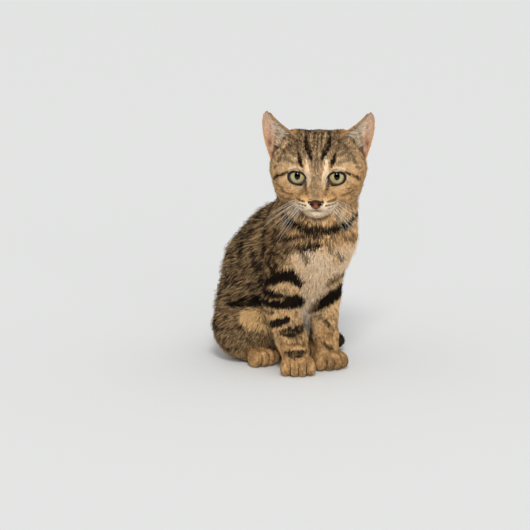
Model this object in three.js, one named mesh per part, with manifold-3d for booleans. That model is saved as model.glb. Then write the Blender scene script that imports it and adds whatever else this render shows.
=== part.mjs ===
// A sitting shorthair tabby kitten, life size, looking straight ahead with its body turned to its left.
// Millimetres, +Z up, floor at z = 0. The face looks along -Y and the rump trails towards -X and +Y.
// The outer surface is the tips of the coat. The body is one smooth blend of cones and eggs, meshed by
// surface nets and parted into its named nodes by thin cuts.
import * as THREE from "three";
import { mergeVertices } from "three/addons/utils/BufferGeometryUtils.js";
import Module from "manifold-3d";

const wasm = await Module();
wasm.setup();

// Driving dimensions
const bodyTurn = THREE.MathUtils.degToRad(35); // the body's heading, turned from -Y towards +X
const stanceX = -1.3; // the point between the forepaws
const stanceY = 10;
const headX = 1.5; // the head's centre
const headY = 6;
const headZ = 179;
const headNod = THREE.MathUtils.degToRad(4); // nose down
const headYaw = THREE.MathUtils.degToRad(-3.7); // nose towards -X
const skullWidth = 68;
const chestWidth = 62;
const rumpWidth = 76.5;
const pawHeight = 8.5; // wrist end of the forepaw above the floor
const toePitch = 7; // from one toe to the next
const eyeRadius = 9.2;
const eyeSpread = 16.4; // from the head's middle to an eye's centre
const eyeForward = 17.6; // from the head's centre forward to an eye's centre
const eyeDrop = 1.4;
const lidDrop = 0.8; // the opening's middle below the eye's centre
const eyeToe = THREE.MathUtils.degToRad(4); // each eye looks this far outwards
const gap = 0.3; // between touching nodes
const centreX = -20.08; // the middle of the whole model on the floor
const centreY = 49.19;

const fur = { roughness: 0.9, metalness: 0 };
const tabby = new THREE.MeshStandardMaterial({ color: 0x7a6248, ...fur });
const sand = new THREE.MeshStandardMaterial({ color: 0xb08d63, ...fur });
const earSkin = new THREE.MeshStandardMaterial({ color: 0xb98f74, ...fur });
const noseSkin = new THREE.MeshStandardMaterial({ color: 0x9a5040, roughness: 0.6, metalness: 0 });
const iris = new THREE.MeshStandardMaterial({ color: 0xa3a06a, roughness: 0.1, metalness: 0 });

const vec = (x, y, z) => new THREE.Vector3(x, y, z);

// A place on the body: back from the forepaws, out to the kitten's left, and up.
function onBody(back, left, up) {
  const sin = Math.sin(bodyTurn);
  const cos = Math.cos(bodyTurn);
  return vec(stanceX - sin * back + cos * left, stanceY + cos * back + sin * left, up);
}

// The head's own frame: x to +X, y back, z up, from its centre.
const headFrame = new THREE.Matrix4()
  .makeRotationZ(headYaw)
  .multiply(new THREE.Matrix4().makeRotationX(headNod))
  .setPosition(headX, headY, headZ);
const toHead = headFrame.clone().invert();
const onHead = (x, y, z) => vec(x, y, z).applyMatrix4(headFrame);

// ---- distance fields: each takes a point and gives how far it is outside the form ----
function blend(a, b, soft) {
  const h = THREE.MathUtils.clamp(0.5 + (0.5 * (b - a)) / soft, 0, 1);
  return b * (1 - h) + a * h - soft * h * (1 - h);
}
const blendAll = (list, soft) => list.reduce((a, b) => blend(a, b, soft));

function cone(p, from, to, fromRadius, toRadius) {
  const dx = to.x - from.x;
  const dy = to.y - from.y;
  const dz = to.z - from.z;
  const dot = (p.x - from.x) * dx + (p.y - from.y) * dy + (p.z - from.z) * dz;
  const h = THREE.MathUtils.clamp(dot / (dx * dx + dy * dy + dz * dz), 0, 1);
  const away = Math.hypot(p.x - from.x - h * dx, p.y - from.y - h * dy, p.z - from.z - h * dz);
  return away - fromRadius - (toRadius - fromRadius) * h;
}

function egg(p, x, y, z, rx, ry, rz) {
  const qx = p.x - x;
  const qy = p.y - y;
  const qz = p.z - z;
  const k0 = Math.hypot(qx / rx, qy / ry, qz / rz);
  const k1 = Math.hypot(qx / (rx * rx), qy / (ry * ry), qz / (rz * rz));
  return (k0 * (k0 - 1)) / Math.max(k1, 1e-9);
}

function turnedEgg(p, centre, rx, ry, rz, turn) {
  const x = p.x - centre.x;
  const y = p.y - centre.y;
  const cos = Math.cos(turn);
  const sin = Math.sin(turn);
  const q = { x: x * cos + y * sin, y: y * cos - x * sin, z: p.z - centre.z };
  return egg(q, 0, 0, 0, rx, ry, rz);
}

const q = vec(0, 0, 0);
function head(p) {
  q.set(p.x, p.y, p.z).applyMatrix4(toHead);
  const m = { x: Math.abs(q.x), y: q.y, z: q.z };
  const skull = egg(q, 0, 8, 3, skullWidth / 2, 35, 27.8);
  const temple = egg(m, 22.5, 2, 3.5, 18.6, 22, 15.5);
  const earBase = egg(m, 20.5, 11.5, 23.5, 10, 8, 7.6);
  const side = egg(m, 20, -2, -6, 19.5, 20, 19);
  const cheek = egg(m, 19.6, -7, -16.5, 16.4, 16, 13.4);
  const brow = egg(m, 13, -15, 8, 12, 10.5, 9.5);
  const jaw = egg(q, 0, -8, -21, 22, 23, 13.5);
  const bridge = cone(q, vec(0, -15, 5), vec(0, -32.5, -14), 11.5, 7.4);
  const pad = egg(m, 7.2, -30.5, -21.5, 10, 10, 7.6);
  const chin = egg(q, 0, -26.5, -30.2, 10.6, 9.5, 6.6);
  const skullAndCheeks = blendAll([skull, temple, earBase, side, cheek, brow, jaw], 9);
  const muzzle = blend(blend(pad, chin, 3.5), bridge, 4);
  const full = blend(blend(skullAndCheeks, bridge, 9), muzzle, 9);
  const orbit = egg(m, eyeSpread + 2, -31.5, -1.5, 10, 7.5, 8.5);
  return -blend(-full, orbit, 6); // with the hollow round each eye
}

function trunk(p) {
  return blendAll(
    [
      cone(p, onBody(4, 0, 104), onBody(43, 0, 103), chestWidth / 2 - 1.5, 34.8),
      cone(p, onBody(43, 0, 103), onBody(65, 0, 78.5), 34.8, 38.7),
      cone(p, onBody(65, 0, 78.5), onBody(77, 0, 48), 38.7, rumpWidth / 2),
      cone(p, onBody(58, 0, 38), onBody(78, 0, 38), 34, rumpWidth / 2),
      cone(p, onBody(14, 0, 84), onBody(30, 0, 62), 25, 24),
    ],
    14,
  );
}

function neck(p) {
  const throat = cone(p, onBody(2, 6, 119), vec(3, 13, 157), 33.5, 33);
  const nape = cone(p, onBody(28, 0, 115.5), vec(2, 24, 166), 27.5, 26);
  return blend(throat, nape, 12);
}

const thigh = (p, side) => cone(p, onBody(66.5, 25.5 * side, 30.2), onBody(46, 27.5 * side, 40), 29.3, 18.5);

// ---- legs: named joints from the shoulder to the wrist, then four toes in a fan ----
const forelegs = {
  right: {
    side: -1,
    shoulder: onBody(10, -23, 96),
    elbow: onBody(14, -26.5, 62),
    wrist: vec(-21, 9, 27),
    paw: vec(-16, -1, pawHeight),
    heading: vec(0.05, -1, 0).normalize(),
    girth: 13, // the wrist's radius
  },
  left: {
    side: 1,
    shoulder: onBody(10, 17.6, 97),
    elbow: onBody(14, 18.6, 62),
    wrist: vec(8.7, 24.5, 27),
    paw: vec(9.8, 20, pawHeight),
    heading: vec(0.42, -0.91, 0).normalize(),
    girth: 10.2,
  },
};

function upperLeg(p, leg) {
  const arm = cone(p, leg.shoulder, leg.elbow, 20, 15);
  const forearm = cone(p, leg.elbow, leg.wrist, 15, leg.girth);
  return blend(arm, forearm, 6);
}

function forepaw(p, leg) {
  const wrist = cone(p, leg.wrist, leg.paw, leg.girth, 11);
  const turn = Math.atan2(leg.heading.y, leg.heading.x) + Math.PI / 2;
  const toes = [-1.5, -0.5, 0.5, 1.5].map((place) => {
    const centre = leg.paw
      .clone()
      .addScaledVector(leg.heading, 9.5 - 1.4 * place * place)
      .add(vec(-leg.heading.y, leg.heading.x, 0).multiplyScalar(place * toePitch));
    centre.z -= 0.8 + 0.3 * Math.abs(place);
    return turnedEgg(p, centre, 4.9, 8.6, 7.8, turn + place * 0.14);
  });
  return blend(wrist, blendAll(toes, 1.8), 6);
}

function hindFoot(p, side) {
  const sole = cone(p, onBody(74, 26 * side, 8.5), onBody(47, 26 * side, 9.6), 9.5, 10.2);
  const toes = [-1.5, -0.5, 0.5, 1.5].map((place) => {
    const centre = onBody(37 + 1.2 * place * place, 25.8 * side + place * 6.6, 7.6);
    return turnedEgg(p, centre, 4.9, 8, 8.4, bodyTurn);
  });
  return blend(sole, blendAll(toes, 1.8), 4);
}

// The tail leaves the rump, curls forward on the floor round the left side and ends by the left forepaw.
const tailPath = new THREE.CatmullRomCurve3([
  onBody(104, -2, 26),
  onBody(120, 10, 12.5),
  onBody(117, 32, 8.7),
  onBody(101, 50, 8.5),
  onBody(82, 58, 8.5),
  onBody(62, 59, 8.4),
  onBody(44, 56, 10),
]);
const tailRadius = (along) => 13.5 - 4.6 * Math.min(1, along * 3) - 2.2 * along ** 3;

function forequarters(p) {
  let d = blend(trunk(p), neck(p), 10);
  for (const leg of [forelegs.right, forelegs.left]) {
    d = blend(d, blend(upperLeg(p, leg), forepaw(p, leg), 5), 6);
  }
  return d;
}

const body = (p) => blendAll([forequarters(p), thigh(p, -1), thigh(p, 1), head(p)], 7);

// ---- meshing ----
// Surface nets: one vertex in each grid cell that the surface crosses, one quad across each crossed edge.
function netsOf(field, low, high, step, grown = 0) {
  const size = ["x", "y", "z"].map((a) => Math.ceil((high[a] - low[a]) / step) + 1);
  const [nx, ny, nz] = size;
  const index = (i, j, k) => i + nx * (j + ny * k);
  const values = new Float64Array(nx * ny * nz);
  const p = vec(0, 0, 0);
  for (let k = 0; k < nz; k++)
    for (let j = 0; j < ny; j++)
      for (let i = 0; i < nx; i++) {
        p.set(low.x + i * step, low.y + j * step, low.z + k * step);
        const onEdge = i === 0 || j === 0 || k === 0 || i === nx - 1 || j === ny - 1 || k === nz - 1;
        const value = field(p) - grown;
        values[index(i, j, k)] = onEdge ? Math.max(value, 1e-3) : value;
      }
  const vertexOf = new Int32Array(values.length).fill(-1);
  const places = [];
  const corners = [0, 1, 2, 3, 4, 5, 6, 7].map((c) => [c & 1, (c >> 1) & 1, (c >> 2) & 1]);
  const edges = corners.flatMap((a, i) =>
    [1, 2, 4].filter((bit) => !(i & bit)).map((bit) => [a, corners[i | bit]]),
  );
  for (let k = 0; k < nz - 1; k++)
    for (let j = 0; j < ny - 1; j++)
      for (let i = 0; i < nx - 1; i++) {
        const sum = [0, 0, 0];
        let crossings = 0;
        for (const [a, b] of edges) {
          const va = values[index(i + a[0], j + a[1], k + a[2])];
          const vb = values[index(i + b[0], j + b[1], k + b[2])];
          if (va < 0 === vb < 0) continue;
          const t = va / (va - vb);
          for (let n = 0; n < 3; n++) sum[n] += a[n] + t * (b[n] - a[n]);
          crossings++;
        }
        if (!crossings) continue;
        vertexOf[index(i, j, k)] = places.length;
        places.push(
          vec(
            low.x + step * (i + sum[0] / crossings),
            low.y + step * (j + sum[1] / crossings),
            low.z + step * (k + sum[2] / crossings),
          ),
        );
      }
  const triangles = [];
  for (let k = 0; k < nz - 1; k++)
    for (let j = 0; j < ny - 1; j++)
      for (let i = 0; i < nx - 1; i++) {
        const here = values[index(i, j, k)] < 0;
        const crossed = [
          [values[index(i + 1, j, k)] < 0, [0, -1, -1], [0, 0, -1], [0, 0, 0], [0, -1, 0]],
          [values[index(i, j + 1, k)] < 0, [-1, 0, -1], [-1, 0, 0], [0, 0, 0], [0, 0, -1]],
          [values[index(i, j, k + 1)] < 0, [-1, -1, 0], [0, -1, 0], [0, 0, 0], [-1, 0, 0]],
        ];
        for (const [there, ...cells] of crossed) {
          if (here === there) continue;
          const [a, b, c, d] = cells.map(([x, y, z]) => vertexOf[index(i + x, j + y, k + z)]);
          if (here) triangles.push(a, b, c, a, c, d);
          else triangles.push(a, c, b, a, d, c);
        }
      }
  for (let round = 0; round < 2; round++) settle(places, field, grown, step);
  const geometry = new THREE.BufferGeometry().setFromPoints(places);
  geometry.setIndex(triangles);
  return geometry;
}

// Moves each vertex onto the surface along the field's slope, by at most a sixth of a cell.
function settle(places, field, grown, step) {
  const e = 0.2;
  for (const p of places) {
    const d = field(p) - grown;
    const slope = vec(
      field({ x: p.x + e, y: p.y, z: p.z }) - field({ x: p.x - e, y: p.y, z: p.z }),
      field({ x: p.x, y: p.y + e, z: p.z }) - field({ x: p.x, y: p.y - e, z: p.z }),
      field({ x: p.x, y: p.y, z: p.z + e }) - field({ x: p.x, y: p.y, z: p.z - e }),
    ).divideScalar(2 * e);
    const reach = THREE.MathUtils.clamp(-d / Math.max(slope.length(), 0.3), -step / 6, step / 6);
    p.addScaledVector(slope.normalize(), reach);
  }
}

// ---- solids ----
function solid(geometry) {
  const g = geometry.clone();
  g.deleteAttribute("normal");
  g.deleteAttribute("uv");
  const merged = mergeVertices(g, 1e-3);
  return new wasm.Manifold(
    new wasm.Mesh({
      numProp: 3,
      vertProperties: new Float32Array(merged.attributes.position.array),
      triVerts: new Uint32Array(merged.index.array),
    }),
  );
}

// The solid of a closed geometry whose triangles may be wound either way.
function facingOut(geometry) {
  const made = solid(geometry);
  if (made.volume() > 0) return made;
  const order = Array.from(geometry.index.array);
  for (let i = 0; i < order.length; i += 3) [order[i + 1], order[i + 2]] = [order[i + 2], order[i + 1]];
  geometry.setIndex(order);
  return solid(geometry);
}

function largest(made) {
  return made.decompose().reduce((a, b) => (b.volume() > a.volume() ? b : a));
}

function node(name, made, material) {
  const mesh = largest(made).getMesh();
  const cut = new THREE.BufferGeometry();
  cut.setAttribute("position", new THREE.BufferAttribute(mesh.vertProperties, 3));
  cut.setIndex(new THREE.BufferAttribute(mesh.triVerts, 1));
  const geometry = mergeVertices(cut, 0.01); // closes up the slivers that cuts leave
  const corners = Array.from(geometry.index.array);
  const kept = [];
  for (let i = 0; i < corners.length; i += 3) {
    const [a, b, c] = corners.slice(i, i + 3);
    if (a !== b && b !== c && c !== a) kept.push(a, b, c);
  }
  geometry.setIndex(kept);
  geometry.computeVertexNormals();
  const piece = new THREE.Mesh(geometry, material);
  piece.name = name;
  return piece;
}

// A large block on the side of a plane that its normal points to, shifted by an offset.
function beyond(point, normal, offset = 0) {
  const reach = 400;
  const block = new THREE.BoxGeometry(reach, reach, reach).translate(0, 0, reach / 2);
  const n = normal.clone().normalize();
  block.applyQuaternion(new THREE.Quaternion().setFromUnitVectors(vec(0, 0, 1), n));
  const at = point.clone().addScaledVector(n, offset);
  return solid(block.translate(at.x, at.y, at.z));
}

function eggSolid(centre, rx, ry, rz, turn, grown = 0) {
  const ball = new THREE.SphereGeometry(1, 16, 10).scale(rx + grown, ry + grown, rz + grown);
  return solid(ball.rotateZ(turn).translate(centre.x, centre.y, centre.z));
}

function tube(points, radius, sides = 4, steps = 9) {
  const section = new THREE.Shape(
    Array.from({ length: sides }, (_, i) => {
      const a = (2 * Math.PI * i) / sides;
      return new THREE.Vector2(radius * Math.cos(a), radius * Math.sin(a));
    }),
  );
  const path = new THREE.CatmullRomCurve3(points);
  return solid(new THREE.ExtrudeGeometry(section, { steps, bevelEnabled: false, extrudePath: path }));
}

const floor = beyond(vec(0, 0, 0), vec(0, 0, -1));

// ---- head ----
const headLow = vec(-46, -42, 128);
const headHigh = vec(48, 56, 216);
const neckTop = { point: vec(0, 8, 149), normal: vec(0, -0.3, 0.954) };
const headStep = 4.2;

// Where a line along the head's y first meets the coat in front.
function onFace(x, z, sink = 0) {
  let y = -60;
  while (y < 0 && head(onHead(x, y, z)) > 0.05) y += Math.max(0.05, head(onHead(x, y, z)) * 0.6);
  return onHead(x, y + sink, z);
}

const innerCorner = THREE.MathUtils.degToRad(215); // its bearing from the middle of the opening
function eyeParts(side) {
  const centre = vec(eyeSpread * side, -eyeForward, -eyeDrop);
  const ahead = vec(Math.sin(eyeToe) * side, -Math.cos(eyeToe), 0.04).normalize();
  const out = vec(Math.cos(eyeToe) * side, Math.sin(eyeToe), 0);
  const up = vec(0, 0.04, 1).normalize();
  // the opening: flat and round on the ball, drawn out into a corner on its inner, lower side
  const rim = (turn, grow, radius) => {
    const corner = Math.max(0, Math.cos(turn - innerCorner)) ** 4;
    const x = (7.2 + grow) * Math.cos(turn) - 0.9 * corner;
    const z = (5.6 + grow) * Math.sin(turn) - 1.1 * corner + 0.05 * x - lidDrop;
    const depth = Math.sqrt(Math.max(radius * radius - x * x - z * z, 1));
    return centre.clone().addScaledVector(out, x).addScaledVector(up, z).addScaledVector(ahead, depth);
  };
  return { centre, ahead, out, up, rim };
}

// The lids are a soft ring on the ball, cut through by the opening.
function lidRing(side) {
  const { rim } = eyeParts(side);
  const around = 18;
  const across = 5;
  const places = [];
  const triangles = [];
  for (let i = 0; i < around; i++) {
    const turn = (2 * Math.PI * i) / around;
    const inner = rim(turn, 0.9, eyeRadius + 0.2);
    const outer = rim(turn, 2.1, eyeRadius + 1.1);
    const next = rim(turn + 0.05, 0.9, eyeRadius + 0.2);
    const run = next.sub(rim(turn - 0.05, 0.9, eyeRadius + 0.2)).normalize();
    const wide = outer.clone().sub(inner).normalize();
    const high = wide.clone().cross(run).normalize();
    for (let j = 0; j < across; j++) {
      const a = (2 * Math.PI * j) / across;
      const at = inner.clone().addScaledVector(wide, 1.3 * Math.cos(a));
      places.push(at.addScaledVector(high, 1.2 * Math.sin(a)).applyMatrix4(headFrame));
      const i2 = (i + 1) % around;
      const j2 = (j + 1) % across;
      triangles.push(i * across + j, i2 * across + j, i2 * across + j2);
      triangles.push(i * across + j, i2 * across + j2, i * across + j2);
    }
  }
  const geometry = new THREE.BufferGeometry().setFromPoints(places);
  geometry.setIndex(triangles);
  return facingOut(geometry);
}

function eyeball(side, grown = 0) {
  const { centre } = eyeParts(side);
  const at = centre.clone().applyMatrix4(headFrame);
  const ball = new THREE.SphereGeometry(eyeRadius + grown, 14, 9);
  return solid(ball.rotateX(Math.PI / 2).translate(at.x, at.y, at.z));
}

// A cone of space from the eye's centre out through the opening between the lids.
function lidOpening(side) {
  const { centre, rim } = eyeParts(side);
  const around = 18;
  const places = [centre.clone().applyMatrix4(headFrame)];
  const triangles = [];
  const far = vec(0, 0, 0);
  for (let i = 0; i < around; i++) {
    const at = rim((2 * Math.PI * i) / around, 0, eyeRadius);
    at.add(at.clone().sub(centre).multiplyScalar(0.7));
    far.add(at);
    places.push(at.applyMatrix4(headFrame));
    const next = ((i + 1) % around) + 1;
    triangles.push(0, next, i + 1, around + 1, i + 1, next);
  }
  places.push(far.divideScalar(around).applyMatrix4(headFrame));
  const geometry = new THREE.BufferGeometry().setFromPoints(places);
  geometry.setIndex(triangles);
  return facingOut(geometry);
}

function noseField(p) {
  q.set(p.x, p.y, p.z).applyMatrix4(toHead);
  const m = { x: Math.abs(q.x), y: q.y, z: q.z };
  const wing = egg(m, 3.3, -39, -18.7, 3.5, 3, 2.4);
  const tip = egg(q, 0, -39.2, -20.4, 2.7, 3.2, 3.5);
  return blend(wing, tip, 2.5);
}

function headSolid() {
  let made = solid(netsOf(body, headLow, headHigh, headStep));
  made = made.intersect(beyond(neckTop.point, neckTop.normal, gap / 2));
  for (const side of [-1, 1]) {
    made = made.add(lidRing(side)).subtract(eyeball(side, gap)).subtract(lidOpening(side));
  }
  const lipLine = [
    [0.2, -24.8],
    [3, -26.4],
    [6.5, -27.2],
    [10, -26.6],
    [13, -24.8],
  ];
  const lips = [-1, 1].map((side) => tube(lipLine.map(([x, z]) => onFace(x * side, z, 0.2)), 0.55));
  const philtrum = tube([-21.5, -23, -25].map((z) => onFace(0, z, 0.2)), 0.5, 5, 6);
  for (const groove of [...lips, philtrum]) made = made.subtract(groove);
  return made.subtract(solid(netsOf(noseField, noseLow, noseHigh, noseStep, gap)));
}

const noseLow = onHead(-9, -44, -27);
const noseHigh = onHead(9, -33, -12);
const noseStep = 1.7;
function noseSolid() {
  let made = solid(netsOf(noseField, noseLow, noseHigh, noseStep));
  for (const side of [-1, 1]) {
    const nostril = [
      onHead(2 * side, -42.8, -20.2),
      onHead(3.4 * side, -42.2, -19.2),
      onHead(5.2 * side, -41, -19.5),
      onHead(7 * side, -39.2, -20.4),
    ];
    made = made.subtract(tube(nostril, 0.65, 5, 8));
  }
  return made;
}

// ---- ears: a leaf between an inner and an outer edge, cupped back, with a wall that thins to the rim ----
function earGeometry(side) {
  const bezier = (...p) => new THREE.CubicBezierCurve3(...p.map(([x, y, z]) => vec(x * side, y, z)));
  const tip = [45, 8, 50.8];
  const inner = bezier([17.5, -4, 27], [25.5, 0, 35.5], [36, 5, 36.5], tip);
  const outer = bezier([38.5, -3, 4], [44.5, -2, 19], [51, 3, 38], tip);
  const up = 10;
  const across = 8;
  const cup = 15;
  const round = 0.8; // the tip is rounded off from here up
  const top = 0.94;
  const face = (wall) => {
    const rows = [];
    for (let i = 0; i <= up; i++) {
      const u = 0.999 * top * Math.sin((Math.PI / 2) * (i / up));
      const narrow = Math.sqrt(1 - (Math.max(u - round, 0) / (top - round)) ** 2);
      const a = inner.getPoint(u);
      const b = outer.getPoint(u);
      const row = [];
      for (let j = 0; j <= across; j++) {
        const v = (2 * j) / across - 1;
        const arch = 1 - v * v;
        const point = a.clone().lerp(b, (v * narrow + 1) / 2);
        const back = cup * (1 - u) ** 0.8 * arch;
        const thick = wall * (0.35 + arch ** 0.5) * (1 - 0.55 * u);
        row.push(point.add(vec(-0.15 * side * back, back + thick, 0.05 * back)).applyMatrix4(headFrame));
      }
      rows.push(row);
    }
    return rows;
  };
  const front = face(-1.1);
  const rear = face(1.1);
  const places = [...front.flat(), ...rear.flat()];
  const width = across + 1;
  const half = (up + 1) * width;
  const triangles = [];
  const quad = (a, b, c, d) => triangles.push(a, b, c, a, c, d);
  for (let i = 0; i < up; i++) {
    for (let j = 0; j < across; j++) {
      const a = i * width + j;
      quad(a, a + 1, a + 1 + width, a + width);
      quad(half + a, half + a + width, half + a + 1 + width, half + a + 1);
    }
    const left = i * width;
    const right = i * width + across;
    quad(left, left + width, half + left + width, half + left);
    quad(right, half + right, half + right + width, right + width);
  }
  for (let j = 0; j < across; j++) {
    quad(j, half + j, half + j + 1, j + 1);
    const top = up * width + j;
    quad(top, top + 1, half + top + 1, half + top);
  }
  const geometry = new THREE.BufferGeometry().setFromPoints(places);
  geometry.setIndex(triangles);
  return geometry;
}

function earSolid(side) {
  return facingOut(earGeometry(side)).subtract(solid(netsOf(body, headLow, headHigh, headStep, gap)));
}

// ---- trunk, legs, feet and tail ----
const trunkLow = vec(-98, -44, -6);
const trunkHigh = vec(52, 122, 172);
const trunkStep = 10.2;
const shoulders = { point: onBody(4, 0, 122), normal: vec(0.281, -0.401, 0.87) };
const wristHeight = 24;
const legCut = {
  right: [onBody(13, -29, 44), 22, 21, 46],
  left: [onBody(13, 24, 44), 20, 21, 46],
};
const haunchCut = (side) => [onBody(62, 36 * side, 30), 29, 42, 39];

const trunkMesh = solid(netsOf(body, trunkLow, trunkHigh, trunkStep));
const footBox = (side) => {
  const middle = onBody(54, 27 * side, 8);
  return [middle.clone().add(vec(-32, -34, -14.7)), middle.clone().add(vec(32, 34, 16))];
};
const footSolid = (side, grown = 0) =>
  solid(netsOf((p) => hindFoot(p, side), ...footBox(side), 4.1, grown));

const legEgg = (name, grown = 0) => {
  const [centre, rx, ry, rz] = legCut[name];
  return eggSolid(centre, rx, ry, rz, bodyTurn, grown);
};
const haunchEgg = (side, grown = 0) => {
  const [centre, rx, ry, rz] = haunchCut(side);
  return eggSolid(centre, rx, ry, rz, bodyTurn, grown);
};

// The space that the forepaws stand in, from the floor to the wrists.
function pawSpace() {
  const reach = 90;
  const box = new THREE.BoxGeometry(reach, reach, 2 * wristHeight).rotateZ(bodyTurn);
  const middle = onBody(26 - reach / 2, 0, 0);
  return solid(box.translate(middle.x, middle.y, 0));
}

function torsoSolid() {
  let made = trunkMesh.subtract(beyond(shoulders.point, shoulders.normal, -gap / 2)).subtract(pawSpace());
  made = made.subtract(legEgg("right", gap)).subtract(legEgg("left", gap));
  for (const side of [-1, 1]) made = made.subtract(haunchEgg(side, gap)).subtract(footSolid(side, gap));
  return made.subtract(tailSolid(gap)).subtract(floor);
}

function neckSolid() {
  const mesh = solid(netsOf(body, vec(-52, -44, 96), vec(52, 66, 172), 7));
  const above = mesh.intersect(beyond(shoulders.point, shoulders.normal, gap / 2));
  return above.subtract(beyond(neckTop.point, neckTop.normal, -gap / 2)).subtract(legEgg("right", gap));
}

function foreleg(name) {
  const { wrist } = forelegs[name];
  const low = wrist.clone().add(vec(-38, -36, -10));
  const high = wrist.clone().add(vec(38, 40, 78));
  const mesh = solid(netsOf(forequarters, low, high, 6.2));
  const other = name === "left" ? "right" : "left";
  return mesh
    .intersect(legEgg(name))
    .intersect(beyond(vec(0, 0, wristHeight + gap / 2), vec(0, 0, 1)))
    .subtract(beyond(shoulders.point, shoulders.normal, -gap / 2))
    .subtract(legEgg(other, gap));
}

function forepawSolid(name) {
  const leg = forelegs[name];
  const low = leg.paw.clone().add(vec(-22, -26, -14));
  const high = leg.paw.clone().add(vec(22, 26, 24));
  const field = (p) => blend(upperLeg(p, leg), forepaw(p, leg), 5);
  const mesh = solid(netsOf(field, low, high, 3.6));
  return mesh.subtract(beyond(vec(0, 0, wristHeight - gap / 2), vec(0, 0, 1))).subtract(floor);
}

function haunch(side) {
  const centre = onBody(58, 30 * side, 30);
  const low = centre.clone().add(vec(-54, -54, -36));
  const high = centre.clone().add(vec(54, 54, 44));
  const parted = solid(netsOf(body, low, high, 9)).intersect(haunchEgg(side));
  const clear = parted.subtract(legEgg("left", gap)).subtract(legEgg("right", gap));
  return clear.subtract(footSolid(side, gap)).subtract(tailSolid(gap)).subtract(floor);
}

// Rings of the tail's round section along its path, closed by a blunt cone at each end.
function tailSolid(grown = 0) {
  const rings = 20;
  const sides = 12;
  const places = [];
  const triangles = [];
  for (let i = 0; i <= rings; i++) {
    const along = i / rings;
    const middle = tailPath.getPoint(along);
    const ahead = tailPath.getTangent(along);
    const across = ahead.clone().cross(vec(0, 0, 1)).normalize();
    const up = across.clone().cross(ahead);
    const radius = tailRadius(along) * (i === rings ? 0.62 : 1) + grown;
    if (i === rings) middle.addScaledVector(ahead, grown);
    for (let j = 0; j < sides; j++) {
      const a = (2 * Math.PI * j) / sides;
      const x = radius * Math.cos(a);
      places.push(middle.clone().addScaledVector(across, x).addScaledVector(up, radius * Math.sin(a)));
      if (i === rings) continue;
      const next = (j + 1) % sides;
      const [a0, a1] = [i * sides + j, i * sides + next];
      triangles.push(a0, a1, a1 + sides, a0, a1 + sides, a0 + sides);
    }
  }
  for (const [along, ring, turn] of [
    [0, 0, -1],
    [1, rings, 1],
  ]) {
    const reach = turn * (turn > 0 ? 3 : 8 + grown);
    places.push(tailPath.getPoint(along).addScaledVector(tailPath.getTangent(along), reach));
    for (let j = 0; j < sides; j++) {
      const [a, b] = [ring * sides + j, ring * sides + ((j + 1) % sides)];
      triangles.push(places.length - 1, ...(turn > 0 ? [a, b] : [b, a]));
    }
  }
  const geometry = new THREE.BufferGeometry().setFromPoints(places);
  geometry.setIndex(triangles);
  return facingOut(geometry);
}

function tailLength(from, to) {
  let made = tailSolid().subtract(floor);
  for (const [at, direction] of [
    [from, 1],
    [to, -1],
  ]) {
    if (at === null) continue;
    const point = tailPath.getPoint(at);
    const along = tailPath.getTangent(at).multiplyScalar(direction);
    made = made.intersect(beyond(point, along, gap / 2));
  }
  return made;
}

// ---- the kitten ----
const kitten = new THREE.Group();
kitten.name = "kitten";
kitten.position.set(-centreX, -centreY, 0);
kitten.add(
  node("head", headSolid(), tabby),
  node("nose", noseSolid(), noseSkin),
  node("neck", neckSolid(), tabby),
  node("torso", torsoSolid(), tabby),
  node("tail_root", tailLength(null, 0.36), tabby),
  node("tail_middle", tailLength(0.36, 0.68), tabby),
  node("tail_tip", tailLength(0.68, null), tabby),
);
for (const [name, side] of [
  ["left", 1],
  ["right", -1],
]) {
  kitten.add(
    node("ear_" + name, earSolid(side), earSkin),
    node("eye_" + name, eyeball(side), iris),
    node("foreleg_" + name, foreleg(name), tabby),
    node("forepaw_" + name, forepawSolid(name), sand),
    node("haunch_" + name, haunch(side), tabby),
    node("hind_foot_" + name, footSolid(side).subtract(floor), sand),
  );
}

export default kitten;
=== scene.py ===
# A sitting shorthair tabby kitten about eleven weeks old, on a plain pale floor.
# Shapes are worked out in millimetres with the floor at z = 0 and set into the frame at the end.
import math

import bpy
import mathutils
import numpy as np
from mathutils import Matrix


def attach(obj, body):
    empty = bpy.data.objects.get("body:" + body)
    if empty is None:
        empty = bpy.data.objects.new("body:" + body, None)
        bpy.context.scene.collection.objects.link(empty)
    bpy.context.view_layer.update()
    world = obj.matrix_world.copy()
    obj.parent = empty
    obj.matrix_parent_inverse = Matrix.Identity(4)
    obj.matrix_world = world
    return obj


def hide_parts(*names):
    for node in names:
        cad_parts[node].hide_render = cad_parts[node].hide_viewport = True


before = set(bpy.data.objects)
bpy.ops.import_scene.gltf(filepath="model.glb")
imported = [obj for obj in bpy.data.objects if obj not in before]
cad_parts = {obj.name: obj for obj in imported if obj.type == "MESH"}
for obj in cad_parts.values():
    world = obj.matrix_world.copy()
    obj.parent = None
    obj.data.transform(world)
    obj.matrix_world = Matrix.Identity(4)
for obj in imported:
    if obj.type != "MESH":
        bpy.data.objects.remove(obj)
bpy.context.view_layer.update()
millimetre = 0.001  # in the frame's metres
middle = np.array([-20.08, 49.19, 0.0])  # the frame's origin, in the shape's own millimetres
rng = np.random.default_rng(11)


# small helpers for whole arrays of points
def vec(*v):
    return np.array(v, float)


def unit(v):
    return v / np.maximum(np.linalg.norm(v, axis=-1, keepdims=True), 1e-9)


def ramp(x, low, high):  # 0 below low, 1 above high, smooth between
    h = np.clip((x - low) / (high - low), 0, 1)
    return h * h * (3 - 2 * h)


def mix(a, b, f):  # colours a and b, with a share f of b
    return a + (b - a) * np.asarray(f)[..., None]


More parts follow.
